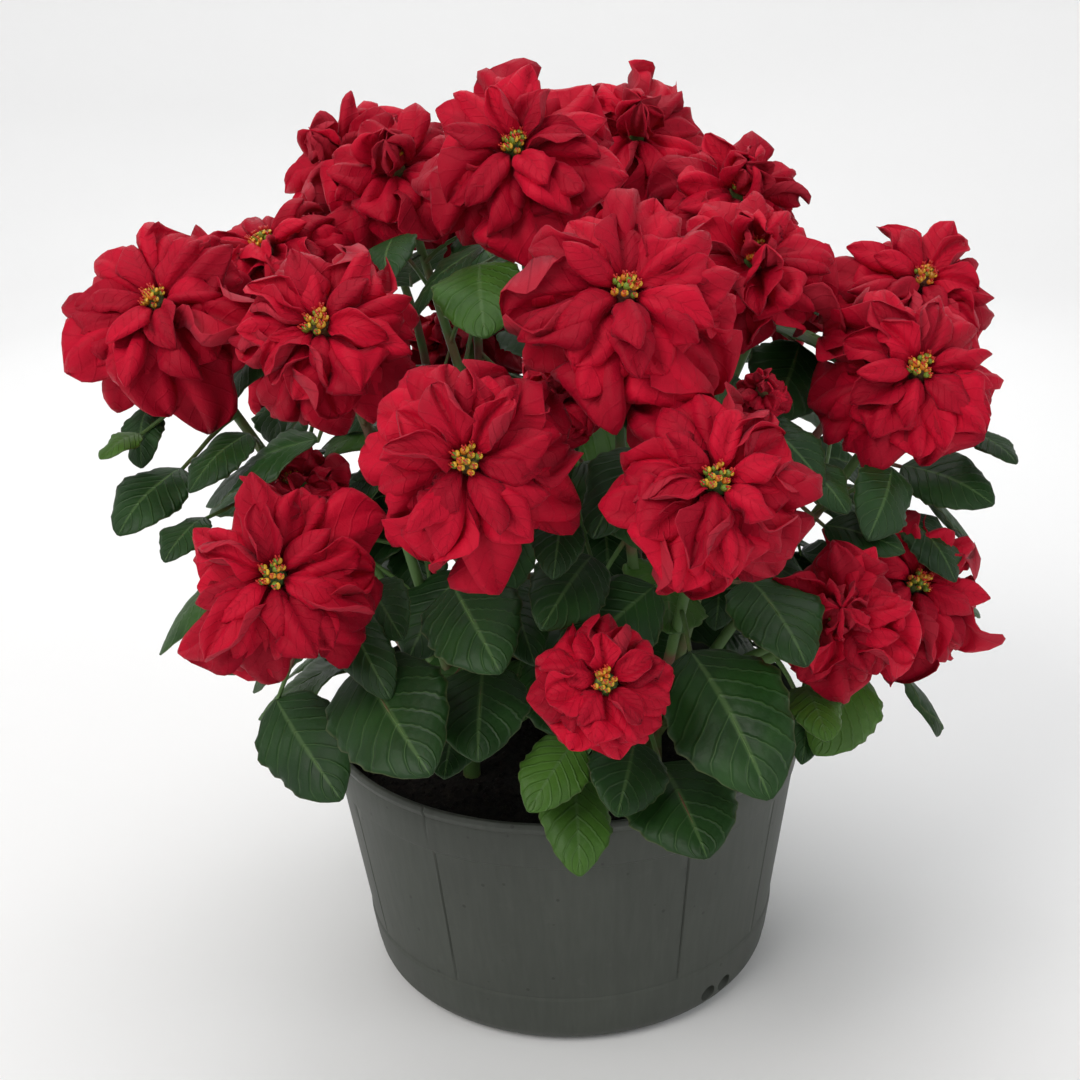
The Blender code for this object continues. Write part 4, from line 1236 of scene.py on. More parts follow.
def blade_midrib(plan, along):
    """Point on the arched midrib, with the directions across and out of the blade there."""
    out = plan.named("out", "FLOAT_VECTOR")
    up = plan.named("up", "FLOAT_VECTOR")
    length = plan.named("length")
    rise = plan.named("rise")
    bend = plan.named("fall") - rise
    slope = rise + bend * along
    middle = (plan.named("foot", "FLOAT_VECTOR")
              + out * (length * (slope.sine() - rise.sine()) / bend)
              + up * (length * (rise.cosine() - slope.cosine()) / bend))
    ahead = out * slope.cosine() + up * slope.sine()
    roll = plan.named("roll") * (along * 2.0).least(1.0) + plan.named("twist") * along
    side = out.cross(up).unit().turned(ahead, roll)
    return middle, side, side.cross(ahead)


def ripple(along, across, phase, lengthwise, crosswise):
    """A wave over a blade, by its radians along and across it."""
    return (along * lengthwise + phase + across * crosswise).sine()


def blade_half_width(plan, along, across, phase):
    """Half the blade's width, with its teeth."""
    share = ((along ** plan.number("Widest")) * math.pi).sine().most(0.0) ** plan.number("Roundness")
    notch = plan.number("Teeth") * ripple(along, across, phase, *TEETH_WAVE)
    return plan.named("width") * 0.5 * (share.most(LEAST_SHARE) + share * notch)


def blade_relief(plan, along, across, phase, half):
    """How far a point stands out of the smooth blade: its pleats, quilting, ruffle, fold and thickness."""
    inside = along.ramp(0.0, FLAT_FOOT)
    crumple = plan.named("crumple") * half * inside
    ridge = (across * plan.number("Pleats") * math.pi * 0.5 + phase + along * PLEAT_DRIFT).sine().size()
    pleat = plan.number("Pleat depth") * crumple * ((ridge ** CREASE) - CREASE_MEAN)
    swell = plan.number("Swell") * crumple * ripple(along, across, phase * 2.0, *SWELL_WAVE)
    wave = vein_wave(along, across, plan.number("Veins"), plan.number("Vein slant"))
    cushion = (wave ** CREASE) * across.size().ramp(0.0, MIDRIB_VALLEY) - CREASE_MEAN
    quilt = plan.number("Vein depth") * half * inside * cushion
    edge = across.size() ** 3.0
    ruffle = plan.number("Ruffle") * crumple * edge * ripple(along, across, phase, *RUFFLE_WAVE)
    fold = plan.number("Fold") * half * across.size()
    thick = plan.named("layer") * 0.5 * plan.number("Thickness") * (THICK_MIDDLE - edge * THIN_EDGE)
    return pleat + swell + quilt + ruffle + fold + thick


def blade_tree():
    """Turns each point into a closed, arched blade: a bract or a leaf."""
    plan = GeometryTree("Blades", along=18, across=13, widest=1.8, roundness=0.7, edge_arc=1.0, pleats=2.0,
                        pleat_depth=0.05, swell=0.05, veins=7.0, vein_slant=2.4, vein_depth=0.01, ruffle=0.05,
                        teeth=0.0, fold=0.0, thickness=0.0009)
    slabs = blade_slabs(plan)
    along = plan.named("along")
    across = plan.named("across")
    phase = plan.named("phase")
    middle, side, above = blade_midrib(plan, along)
    half = blade_half_width(plan, along, across, phase)
    unrolled = FOOT_CURL + along.ramp(0.0, 0.5) * (1.0 - FOOT_CURL)
    arc = plan.number("Edge arc") * plan.named("curl") * unrolled
    turn = across * arc
    outward = side * turn.sine() + above * turn.cosine()
    place = (middle + side * (half * turn.sine() / arc) - above * (half * (1.0 - turn.cosine()) / arc)
             + outward * blade_relief(plan, along, across, phase, half))
    moved = plan.node("GeometryNodeSetPosition", Geometry=slabs, Position=place)
    smooth = plan.node("GeometryNodeSetShadeSmooth", Geometry=moved.outputs[0])
    return plan.finish(smooth.outputs[0])


def tube_tree():
    """Turns chains of edges into round stems that taper as their points' girth says."""
    plan = GeometryTree("Stems", sides=ROUND_SIDES)
    curve = plan.node("GeometryNodeMeshToCurve", Mesh=plan.given.outputs["Geometry"])
    ring = plan.node("GeometryNodeCurvePrimitiveCircle", Resolution=plan.number("Sides"), Radius=1.0)
    girth = plan.named("girth")
    thick = plan.node("GeometryNodeSetCurveRadius", Curve=curve.outputs[0], Radius=girth)
    skin = plan.node("GeometryNodeCurveToMesh", Curve=thick.outputs[0], Profile_Curve=ring.outputs[0],
                     Scale=girth)
    skin.inputs["Fill Caps"].default_value = True
    smooth = plan.node("GeometryNodeSetShadeSmooth", Geometry=skin.outputs[0])
    return plan.finish(smooth.outputs[0])


def growth_mesh(name, blades, tones, seed, curls=(1.0, 1.0), cupped=0.0, twist=0.0):
    """Starting points of a piece of blades, one for each bract or leaf, no two of them curled alike."""
    chance = random.Random(seed)
    numbers = {
        "curl": [chance.uniform(*curls) * (CUPPED if chance.random() < cupped else 1.0) for _ in blades],
        "crumple": [chance.uniform(*CRUMPLES) for _ in blades],
        "twist": [chance.uniform(-twist, twist) for _ in blades],
        "length": [blade.length for blade in blades],
        "width": [blade.width for blade in blades],
        "rise": [blade.rise for blade in blades],
        "fall": [blade.fall for blade in blades],
        "roll": [blade.roll for blade in blades],
        "phase": [blade.phase for blade in blades],
        "tone": tones,
    }
    arrows = {
        "foot": [blade.foot for blade in blades],
        "out": [blade.out for blade in blades],
        "up": [blade.up for blade in blades],
    }
    return point_mesh(name, [blade.foot for blade in blades], numbers, arrows)


def fix(piece, slot, *nodes):
    """Attach a piece to the root body and hide the model's nodes that it replaces."""
    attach(piece, "root")
    if nodes:
        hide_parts(*nodes)
    return piece


def joined(name, things):
    """One object from several, with the materials of all of them."""
    mesh = bmesh.new()
    materials = []
    for thing in things:
        for material in thing.data.materials:
            if material not in materials:
                materials.append(material)
    for thing in things:
        first = len(mesh.faces)
        mesh.from_mesh(thing.data)
        mesh.faces.ensure_lookup_table()
        places = [materials.index(material) for material in thing.data.materials]
        for face in mesh.faces[first:]:
            face.material_index = places[face.material_index]
    whole = linked(name, bpy.data.meshes.new(name))
    mesh.to_mesh(whole.data)
    mesh.free()
    for material in materials:
        whole.data.materials.append(material)
    for thing in things:
        bpy.data.objects.remove(thing)
    return whole


def varied(blade, chance, width, lengths, opens):
    """A bract that is as wide as told, a bit longer or shorter, and some of them less bent back."""
    stretch = chance.uniform(*lengths)
    opening = opens * chance.random() ** 3
    return Blade(blade.foot, blade.out, blade.up, blade.length * stretch, blade.width * width,
                 math.degrees(blade.rise) + opening * FOOT_OPENS, math.degrees(blade.fall) + opening,
                 math.degrees(blade.roll) * chance.uniform(-ROLL_SPREAD, ROLL_SPREAD), blade.cup,
                 blade.thickness, blade.stops, blade.phase)


def arched_over(blade, chance):
    """An innermost bract that rises and bends inwards over the flowers."""
    length = blade.length * chance.uniform(*CLOSED_LENGTHS)
    rise = CLOSED_RISE + chance.uniform(-6, 10)
    end = CLOSED_END + chance.uniform(-30, 25)
    roll = chance.uniform(-CLOSED_ROLL, CLOSED_ROLL)
    return Blade(blade.foot, blade.out, blade.up, length, blade.width * CLOSED_SHARE, rise, end, roll,
                 blade.cup, blade.thickness, blade.stops, blade.phase)


def bract_between(head, number, row, beside, chance):
    """A bract of a row that stands between two rows of the solids."""
    ring, length, width, rise, fall, offset = EXTRA_ROWS[row]
    shrink = beside.length / (head.radius * BRACT_ROWS[row][1])
    turn = 360.0 * number / (head.sides + MORE_BRACTS)
    turn += HEAD_TWIST * head.number + offset + chance.uniform(-EXTRA_TURN, EXTRA_TURN)
    spoke = head.spoke(turn)
    foot = (head.place + head.axis * HUB_RINGS[ring][0] * MM
            + spoke * HUB_RINGS[ring][1] * ROOT_SHARE * head.scale * MM)
    size = head.radius * min(1.0, shrink) * chance.uniform(*EXTRA_SIZES)
    lean = chance.uniform(-EXTRA_LEAN, EXTRA_LEAN)
    roll = chance.choice(EXTRA_ROLLS)
    phase = chance.uniform(0, ANY_PHASE)
    wide = size * width * BRACTS_ROUND_LARGE / head.sides
    return Blade(foot, spoke, head.axis, size * length, wide, rise + lean, fall + lean, roll, EXTRA_CUP,
                 BRACT_THICKNESS, BRACT_STOPS, phase)


def row_between(head, row, solid_row, chance):
    """The bracts that stand between two rows of the solids, each as long as the one beside it allows."""
    count = head.sides + MORE_BRACTS
    return [bract_between(head, number, row, solid_row[number * head.sides // count], chance)
            for number in range(count)]


def bract_part(name, own, blades, chance, seed, curl, shape, red):
    """The wide or the inner bracts of a head, grown from their points."""
    tones = [chance.random() for _ in own]
    start = growth_mesh(name, own, tones, seed, *curl)
    return grown(name, blades, start, material=red, **shape)


def make_head(head, bracts, blades, red):
    """One piece: a head's wide bracts and its narrow inner ones."""
    chance = random.Random(SEED + head.number)
    outer, second, innermost = [[bracts[head.name, row, number] for number in range(head.sides)]
                                for row in range(len(BRACT_ROWS))]
    beside_outer = row_between(head, 0, outer, chance)
    beside_second = row_between(head, 1, second, chance)
    wide = [varied(blade, chance, WIDE_SHARE, WIDE_LENGTHS, WIDE_OPENS)
            for blade in outer + beside_outer + second]
    inner = [varied(blade, chance, INNER_SHARE, INNER_LENGTHS, INNER_OPENS)
             for blade in beside_second + innermost]
    if head.number in CLOSED_HEADS:
        inner[len(beside_second):] = [arched_over(blade, chance) for blade in innermost]
    parts = [bract_part("wide", wide, blades, chance, head.number, WIDE_CURL, WIDE_SHAPE, red),
             bract_part("inner", inner, blades, chance, head.number + 50, INNER_CURL, INNER_SHAPE, red)]
    fix(joined("bracts_%02d" % head.number, parts), "bracts", head.name)


class Chains:
    """Chains of points that a tube grows round, each point with its girth."""

    def __init__(self):
        self.points = []
        self.girths = []
        self.edges = []

    def add(self, path, radii):
        """One more chain, from its points and their girths."""
        first = len(self.points)
        self.points += path
        self.girths += radii
        self.edges += [(first + step, first + step + 1) for step in range(len(path) - 1)]


def add_stem(chains, plant):
    """A plant's main stem."""
    foot = stem_foot(plant)
    chains.add([foot + Vector((0, 0, height)) for height, _ in FINE_STEM],
               [STEM_RADIUS * share for _, share in FINE_STEM])


def add_branch(chains, head, path):
    """The branch of a head, and the green neck that holds its bracts."""
    shares = [step / BRANCH_POINTS for step in range(BRANCH_POINTS + 1)]
    chains.add([smooth_path(path, share) for share in shares],
               [BRANCH_RADIUS * (THICK_FOOT - THINNING * share) * FINE_BRANCH for share in shares])
    chains.add([head.place + head.axis * height * MM for height, _ in HUB_RINGS],
               [radius * head.scale * FINE_HUB * MM for _, radius in HUB_RINGS])


def make_stems(heads, paths, leaves, stems, green):
    """Stems, branches, heads' green necks and leaf stalks, in one piece for each plant."""
    for plant, own in leaves.items():
        chains = Chains()
        add_stem(chains, plant)
        for head in heads:
            if head.plant == plant:
                add_branch(chains, head, paths[head.name])
        for blade, start in own:
            chains.add(*stalk(blade, start))
        mesh = point_mesh("stalks", chains.points, {"girth": chains.girths}, {}, chains.edges)
        piece = grown("stems_%d" % (plant + 1), stems, mesh, material=green, sides=ROUND_SIDES)
        fix(piece, "foliage", "plant_%d" % (plant + 1))


def smooth_path(path, share):
    """Point at a share of a branch, rounded through the path's own points."""
    place = share * (len(path) - 2)
    step = min(int(place), len(path) - 3)
    t = place - step
    before = path[max(0, step - 1)]
    a, b = path[step], path[step + 1]
    after = path[min(len(path) - 2, step + 2)]
    if step + 2 >= len(path) - 1:
        after = path[-1]
    return 0.5 * (2 * a + (b - before) * t + (2 * before - 5 * a + 4 * b - after) * t * t
                  + (3 * a - before - 3 * b + after) * t ** 3)


def stalk(blade, start):
    """Points and radii of a leaf's stalk and of the midrib that it runs on into."""
    steps = len(STALK_GIRTHS)
    points = [start.lerp(blade.foot, step / steps) for step in range(steps)]
    for point in points[1:-1]:
        point.z += STALK_SAG
    for t, _ in MIDRIB:
        place, _, above = blade.spine(t)
        points.append(place - above * MIDRIB_DEPTH)
    return points, [STALK_RADIUS * share for share in (*STALK_GIRTHS, *(share for _, share in MIDRIB))]


def make_leaves(leaves, blades, green):
    """The leaves of each plant in one piece. Those that follow a rule have a tone by chance."""
    for plant, own in leaves.items():
        chance = random.Random(31 * plant + 5)
        tones = []
        for blade, _ in own:
            any_tone = chance.uniform(*BACK_TONES)
            tones.append(any_tone if blade.tone is None else blade.tone)
        mesh = growth_mesh("leaves", [blade for blade, _ in own], tones, plant)
        piece = grown("leaves_%d" % (plant + 1), blades, mesh, material=green, **LEAF_SHAPE)
        fix(piece, "foliage", "plant_%d" % (plant + 1))


def floret_tree():
    """Small flowers on their points: a green cup, a yellow lip at its side and red threads on top."""
    plan = GeometryTree("Florets", cup_radius=0.0019)
    radius = plan.number("Cup radius")
    ball = plan.node("GeometryNodeMeshUVSphere", Segments=9, Rings=6, Radius=radius)
    cup = plan.node("GeometryNodeTransform", Geometry=ball.outputs[0], Scale=(1.0, 1.0, CUP_LENGTH))
    cup_toned = plan.store(cup.outputs[0], "tint", 0.0)
    lip_ball = plan.node("GeometryNodeMeshUVSphere", Segments=8, Rings=5, Radius=radius * LIP_SHARE)
    lip = plan.node("GeometryNodeTransform", Geometry=lip_ball.outputs[0], Translation=LIP_PLACE,
                    Scale=LIP_STRETCH)
    lip_toned = plan.store(lip.outputs[0], "tint", 0.5)
    threads = []
    for x, y in THREAD_PLACES:
        thread = plan.node("GeometryNodeMeshCone", Vertices=5, Radius_Top=0.00045, Radius_Bottom=0.0002,
                           Depth=0.0024)
        moved = plan.node("GeometryNodeTransform", Geometry=thread.outputs[0],
                          Translation=(x, y, THREAD_HEIGHT))
        threads.append(moved.outputs[0])
    red = plan.store(plan.join(*threads), "tint", 1.0)
    whole = plan.join(cup_toned, lip_toned, red)
    facing = plan.node("FunctionNodeAlignRotationToVector", Vector=plan.named("facing", "FLOAT_VECTOR"))
    facing.axis = "Z"
    many = plan.node("GeometryNodeInstanceOnPoints", Points=plan.given.outputs["Geometry"], Instance=whole)
    feed(plan.tree, many.inputs["Rotation"], facing.outputs[0])
    feed(plan.tree, many.inputs["Scale"], plan.named("size"))
    smooth = plan.node("GeometryNodeSetShadeSmooth", Geometry=many.outputs[0])
    return plan.finish(smooth.outputs[0])


def make_florets(heads, florets, gold):
    """A cluster of small flowers in the middle of each open head."""
    for head in heads:
        if head.bud:
            continue
        chance = random.Random(97 * head.number)
        scale = flower_scale(head)
        points = []
        facings = []
        sizes = []
        for number in range(FLORETS):
            reach = FLORET_REACH * math.sqrt((number + FLORET_START) / FLORETS) * scale
            spoke = head.spoke(number * GOLDEN_ANGLE + chance.uniform(-FLORET_TURN, FLORET_TURN))
            dome = 1 - (reach / (FLORET_REACH * scale)) ** 2
            lift = FLORET_LIFT + FLORET_DOME * dome * chance.uniform(*FLORET_HEIGHTS)
            points.append(head.place + spoke * reach + head.axis * (lift + GAP) * scale)
            tilt = Vector((chance.uniform(-FLORET_TILT, FLORET_TILT),
                           chance.uniform(-FLORET_TILT, FLORET_TILT), 0))
            facings.append((head.axis + spoke * reach * FLORET_LEAN + tilt).normalized())
            sizes.append(chance.uniform(*FLORET_SIZES) * scale)
        numbers = {"size": sizes, "tone": [chance.random() for _ in sizes]}
        mesh = point_mesh("florets", points, numbers, {"facing": facings})
        piece = grown("florets_%02d" % head.number, florets, mesh, material=gold)
        fix(piece, "flowers", "flowers_%02d" % head.number)


class Paint:
    """A material's tree, with short ways to add noise, blends and bumps."""

    def __init__(self, name, **finish):
        self.material = bpy.data.materials.new(name)
        self.material.use_nodes = True
        self.tree = self.material.node_tree
        self.surface = self.tree.nodes["Principled BSDF"]
        for label, value in finish.items():
            self.surface.inputs[label.replace("_", " ")].default_value = value
        self.object_place = self.tree.nodes.new("ShaderNodeTexCoord").outputs["Object"]

    def noise(self, scale, detail=3.0, stretch=(1.0, 1.0, 1.0)):
        """Noise from 0 to 1 on the piece's own coordinates, in features per metre."""
        spread = self.tree.nodes.new("ShaderNodeMapping")
        spread.inputs["Scale"].default_value = stretch
        self.tree.links.new(self.object_place, spread.inputs["Vector"])
        node = self.tree.nodes.new("ShaderNodeTexNoise")
        node.inputs["Scale"].default_value = scale
        node.inputs["Detail"].default_value = detail
        self.tree.links.new(spread.outputs[0], node.inputs["Vector"])
        return Number(self.tree, node.outputs[0])

    def specks(self, scale, size):
        """1 inside small scattered dots and 0 elsewhere."""
        node = self.tree.nodes.new("ShaderNodeTexVoronoi")
        node.inputs["Scale"].default_value = scale
        self.tree.links.new(self.object_place, node.inputs["Vector"])
        return 1.0 - Number(self.tree, node.outputs["Distance"]).ramp(size * 0.6, size)

    def carried(self, name):
        """A number that the piece's points carry."""
        node = self.tree.nodes.new("ShaderNodeAttribute")
        node.attribute_name = name
        return Number(self.tree, node.outputs["Fac"])

    def upper_side(self):
        """1 on a blade's upper side and 0 under it."""
        return self.carried("layer").ramp(-0.3, 0.3)

    def blade_places(self):
        """Lengthwise place from 0 to 1 and crosswise place from -1 to 1 on a blade."""
        node = self.tree.nodes.new("ShaderNodeUVMap")
        node.uv_map = "UVMap"
        along, across, _ = Arrow(self.tree, node.outputs[0]).parts()
        return along, across * 2.0 - 1.0

    def blend(self, share, first, second):
        """Colour between two, by a share from 0 to 1."""
        node = self.tree.nodes.new("ShaderNodeMix")
        node.data_type = "RGBA"
        feed(self.tree, node.inputs["Factor"], share)
        places = [item for item in node.inputs if item.type == "RGBA"]
        for place, colour in zip(places, (first, second)):
            feed(self.tree, place, (*colour, 1.0) if isinstance(colour, tuple) else colour)
        return [output for output in node.outputs if output.type == "RGBA"][0]

    def bump(self, height, depth):
        """Fine relief of a depth in metres."""
        node = self.tree.nodes.new("ShaderNodeBump")
        node.inputs["Distance"].default_value = depth
        feed(self.tree, node.inputs["Height"], height)
        self.tree.links.new(node.outputs[0], self.surface.inputs["Normal"])

    def colour(self, socket):
        self.tree.links.new(socket, self.surface.inputs["Base Color"])

    def roughness(self, value):
        feed(self.tree, self.surface.inputs["Roughness"], value)


def bract_paint():
    """Velvety crimson with soft veins, paler and matt underneath."""
    paint = Paint("bract_velvet", Sheen_Weight=0.08, Sheen_Roughness=0.40, Sheen_Tint=(1.0, 0.25, 0.35, 1.0),
                  Specular_IOR_Level=0.12)
    along, across = paint.blade_places()
    lines = 1.0 - vein_wave(along, across, BRACT_VEINS, BRACT_VEIN_SLANT).ramp(0.0, 0.30)
    midrib = 1.0 - across.size().ramp(0.0, 0.07)
    patches = paint.noise(scale=45.0)
    fresh = (paint.carried("tone") * 0.45 + patches * 0.7).ramp(0.25, 0.95)
    veined = (lines * 0.14 + midrib * 0.24) * along.ramp(0.05, 0.3)
    dark_foot = (1.0 - along.ramp(0.02, 0.22)) * 0.55
    top = paint.blend(fresh, BRACT_DEEP, BRACT_BRIGHT)
    top = paint.blend(veined, top, BRACT_VEIN)
    top = paint.blend(dark_foot, top, BRACT_FOOT)
    under = paint.blend(lines * 0.4, BRACT_UNDER, BRACT_VEIN)
    paint.colour(paint.blend(paint.upper_side(), under, top))
    paint.roughness(0.50 + patches * 0.16)
    velvet = paint.noise(scale=420.0, detail=2.0) * 0.5 + paint.noise(scale=1500.0, detail=2.0) * 0.3
    paint.bump(lines * -0.35 + velvet, depth=0.0005)
    return paint.material


def leaf_paint():
    """Dark green with a pale midrib and side veins, lighter underneath, with a few yellow-green leaves."""
    paint = Paint("leaf_green", Specular_IOR_Level=0.28)
    along, across = paint.blade_places()
    wave = vein_wave(along, across, LEAF_VEINS, LEAF_VEIN_SLANT)
    lines = 1.0 - wave.ramp(0.02, 0.15)
    midrib = 1.0 - across.size().ramp(0.015, 0.075)
    patches = paint.noise(scale=38.0)
    tone = paint.carried("tone")
    green = (patches * 0.8 + tone * 0.4).ramp(0.2, 0.95)
    yellow = (tone + patches * 0.3 - 0.15).ramp(0.50, 0.92)
    fading = 1.0 - across.size().ramp(0.75, 1.0) * 0.6
    rim = across.size().ramp(0.955, 0.995) * 0.5
    top = paint.blend(green, LEAF_DARK, LEAF_GREEN)
    top = paint.blend(yellow, top, LEAF_YELLOW)
    top = paint.blend((lines * 0.34 + midrib * 0.60).least(1.0) * fading, top, LEAF_VEIN)
    top = paint.blend(rim, top, LEAF_EDGE)
    under = paint.blend((lines + midrib).least(1.0) * 0.5, LEAF_UNDER, LEAF_VEIN)
    paint.colour(paint.blend(paint.upper_side(), under, top))
    paint.roughness(0.40 + patches * 0.22)
    cushions = wave.ramp(0.0, 0.5) * 0.6
    paint.bump(cushions + paint.noise(scale=300.0, detail=3.0) * 0.4, depth=0.0006)
    return paint.material


def stem_paint():
    """Green stems with a reddish blush."""
    paint = Paint("stem_green", Specular_IOR_Level=0.35)
    patches = paint.noise(scale=28.0)
    paint.colour(paint.blend(patches.ramp(0.45, 0.68), STEM_GREEN, STEM_RED))
    paint.roughness(0.45 + patches * 0.15)
    paint.bump(paint.noise(scale=500.0, detail=3.0, stretch=(1.0, 1.0, 0.15)), depth=0.0003)
    return paint.material


def floret_paint():
    """Green cups, yellow lips and red threads."""
    paint = Paint("floret_gold", Specular_IOR_Level=0.5)
    tint = paint.carried("tint")
    tone = paint.carried("tone")
    cup = paint.blend(tone.ramp(0.3, 0.8), FLORET_GREEN, FLORET_ORANGE)
    colour = paint.blend(tint.ramp(0.2, 0.3), cup, FLORET_YELLOW)
    paint.colour(paint.blend(tint.ramp(0.7, 0.8), colour, FLORET_RED))
    paint.roughness(0.35 + paint.noise(scale=600.0) * 0.2)
    paint.bump(paint.noise(scale=1400.0, detail=2.0), depth=0.0002)
    return paint.material


def pot_paint():
    """Matt grey-green moulded plastic with a faint upright grain and small dark specks."""
    paint = Paint("pot_plastic", Specular_IOR_Level=0.35)
    grain = paint.noise(scale=260.0, detail=4.0, stretch=(1.0, 1.0, 0.05))
    clouds = paint.noise(scale=14.0, detail=4.0)
    dust = paint.noise(scale=90.0, detail=5.0)
    base = paint.blend((grain * 0.5 + clouds * 0.5).ramp(0.2, 0.9), POT_DARK, POT_GREY)
    base = paint.blend(dust.ramp(0.62, 0.80) * 0.10, base, POT_DUST)
    paint.colour(paint.blend(paint.specks(scale=70.0, size=0.10) * 0.65, base, POT_SPECK))
    paint.roughness(0.46 + clouds * 0.18)
    paint.bump(grain * 0.7 + paint.noise(scale=900.0, detail=2.0) * 0.3, depth=0.0002)
    return paint.material


def peat_paint():
    """Black-brown and dull."""
    paint = Paint("peat", Specular_IOR_Level=0.2)
    crumbs = paint.noise(scale=220.0, detail=6.0)
    paint.colour(paint.blend(crumbs.ramp(0.35, 0.75), PEAT_DARK, PEAT_BROWN))
    paint.roughness(0.85 + crumbs * 0.12)
    paint.bump(crumbs, depth=0.002)
    return paint.material


def floor_paint():
    """Matt and nearly white."""
    paint = Paint("studio_floor", Specular_IOR_Level=0.1)
    paint.colour(paint.blend(paint.noise(scale=1.5), FLOOR_PALE, FLOOR_PALER))
    paint.roughness(0.9 + paint.noise(scale=6.0) * 0.05)
    return paint.material


def ring_mesh(name, profile, bearings, dent=None):
    """Closed turned body from a profile that runs axis to axis, with columns at the given bearings."""
    points = [Vector((0, 0, profile[0][1]))]
    for radius, height in profile[1:-1]:
        for bearing in bearings:
            inwards = dent(radius, height, bearing) if dent else 0.0
            points.append(toward(bearing) * (radius - inwards) + Vector((0, 0, height)))
    points.append(Vector((0, 0, profile[-1][1])))
    count = len(bearings)
    faces = []
    for column in range(count):
        beside = (column + 1) % count
        faces.append((0, 1 + beside, 1 + column))
        for ring in range(len(profile) - 3):
            low = 1 + ring * count
            faces.append((low + column, low + beside, low + count + beside, low + count + column))
        last = 1 + (len(profile) - 3) * count
        faces.append((last + column, last + beside, len(points) - 1))
    mesh = bpy.data.meshes.new(name)
    mesh.from_pydata([tuple(point) for point in points], [], faces)
    return mesh


def wall_point(height, inset=0.0):
    """Point of the pot's outline at a height, as far inside the hoops' taper as told."""
    return band_radius(height) - inset, height


def foot_outline():
    """The rounding from the pot's underside up to the lower hoop."""
    points = [(FOOT_RADIUS, 0.0), (FOOT_RADIUS + FOOT_EDGE, FOOT_LIFT)]
    for turn in FOOT_TURNS:
        angle = math.radians(turn)
        radius = band_radius(FOOT_CORNER) - FOOT_ROUND * (1 - math.sin(angle)) - FOOT_INSET
        points.append((radius, FOOT_ROUND_TOP - FOOT_ROUND_RISE * math.cos(angle)))
    return points


def lip_outline():
    """The lip, from its underside over its round top."""
    points = [wall_point(*LIP_STEP), (RIM_RADIUS - LIP_EDGE, LIP_UNDERSIDE)]
    for turn in LIP_TURNS:
        angle = math.radians(turn)
        points.append((RIM_RADIUS - LIP_ROUND + LIP_ROUND * math.cos(angle),
                       LIP_ROUND_HEIGHT + LIP_ROUND_RISE * math.sin(angle)))
    return points


def pot_profile():
    """Outline of the pot from the middle of its underside, up outside, down inside."""
    outside = [(0.0, 0.0)] + foot_outline()
    outside += [wall_point(height) for height in LOWER_HOOP_RINGS]
    outside += [wall_point(height, inset) for height, inset in LOWER_STEP]
    outside += [wall_point(height, HOOP_PROUD) for height in STAVE_RINGS]
    outside.append(wall_point(*UPPER_STEP))
    outside += [wall_point(height) for height in UPPER_HOOP_RINGS]
    outside += lip_outline()
    inner = band_radius(POT_HEIGHT) - WALL - LIP_PROUD
    inside = [(inner - inset, height) for height, inset in INSIDE_RINGS]
    inside += [wall_point(INSIDE_MIDDLE, WALL), wall_point(FLOOR + INNER_CORNER, WALL)]
    inside += [(FOOT_RADIUS, FLOOR), (0.0, FLOOR)]
    return outside + inside


def apart(bearing, other):
    """Angle between two bearings."""
    return abs((bearing - other + 180) % 360 - 180)


def pot_dent(radius, height, bearing):
    """How far the wall is pressed in: the lines between two staves, and the joint in the lip."""
    lines = ()
    if radius > band_radius(height) - OUTSIDE_WALL:
        if height > LIP_JOINT_BOTTOM:
            lines = (LIP_JOINT,)
        elif STAVE_BOTTOM < height < STAVE_TOP:
            lines = GROOVE_BEARINGS
    return GROOVE_DEPTH if any(apart(bearing, line) < LINE_HALF for line in lines) else 0.0


def pot_columns():
    """Bearings of the pot's columns: an even round, and close ones at each line between two staves."""
    bearings = {round(360.0 * step / POT_COLUMNS, 3) for step in range(POT_COLUMNS)}
    for line in (LIP_JOINT, *GROOVE_BEARINGS):
        bearings = {bearing for bearing in bearings if apart(bearing, line) > LINE_CLEAR}
        bearings |= {round((line + shift) % 360, 3) for shift in LINE_COLUMNS}
    return sorted(bearings)


def drain_rod(bearing, group):
    """Rod that leans down and outwards through the foot of the wall, to cut a drain hole with."""
    middle = toward(bearing) * band_radius(DRAIN_HEIGHT) + Vector((0, 0, DRAIN_HEIGHT))
    lean = toward(bearing) * DRAIN_OUT + Vector((0, 0, -DRAIN_LEAN))
    mesh = bmesh.new()
    bmesh.ops.create_cone(mesh, cap_ends=True, segments=ROD_SIDES, radius1=DRAIN_RADIUS, radius2=DRAIN_RADIUS,
                          depth=DRAIN_BACK + DRAIN_FRONT)
    turn = lean.to_track_quat("Z", "Y").to_matrix().to_4x4()
    mesh.transform(Matrix.Translation(middle + lean * (DRAIN_FRONT - DRAIN_BACK) / 2) @ turn)
    rod = bpy.data.objects.new("drain_rod", bpy.data.meshes.new("drain_rod"))
    mesh.to_mesh(rod.data)
    mesh.free()
    group.objects.link(rod)


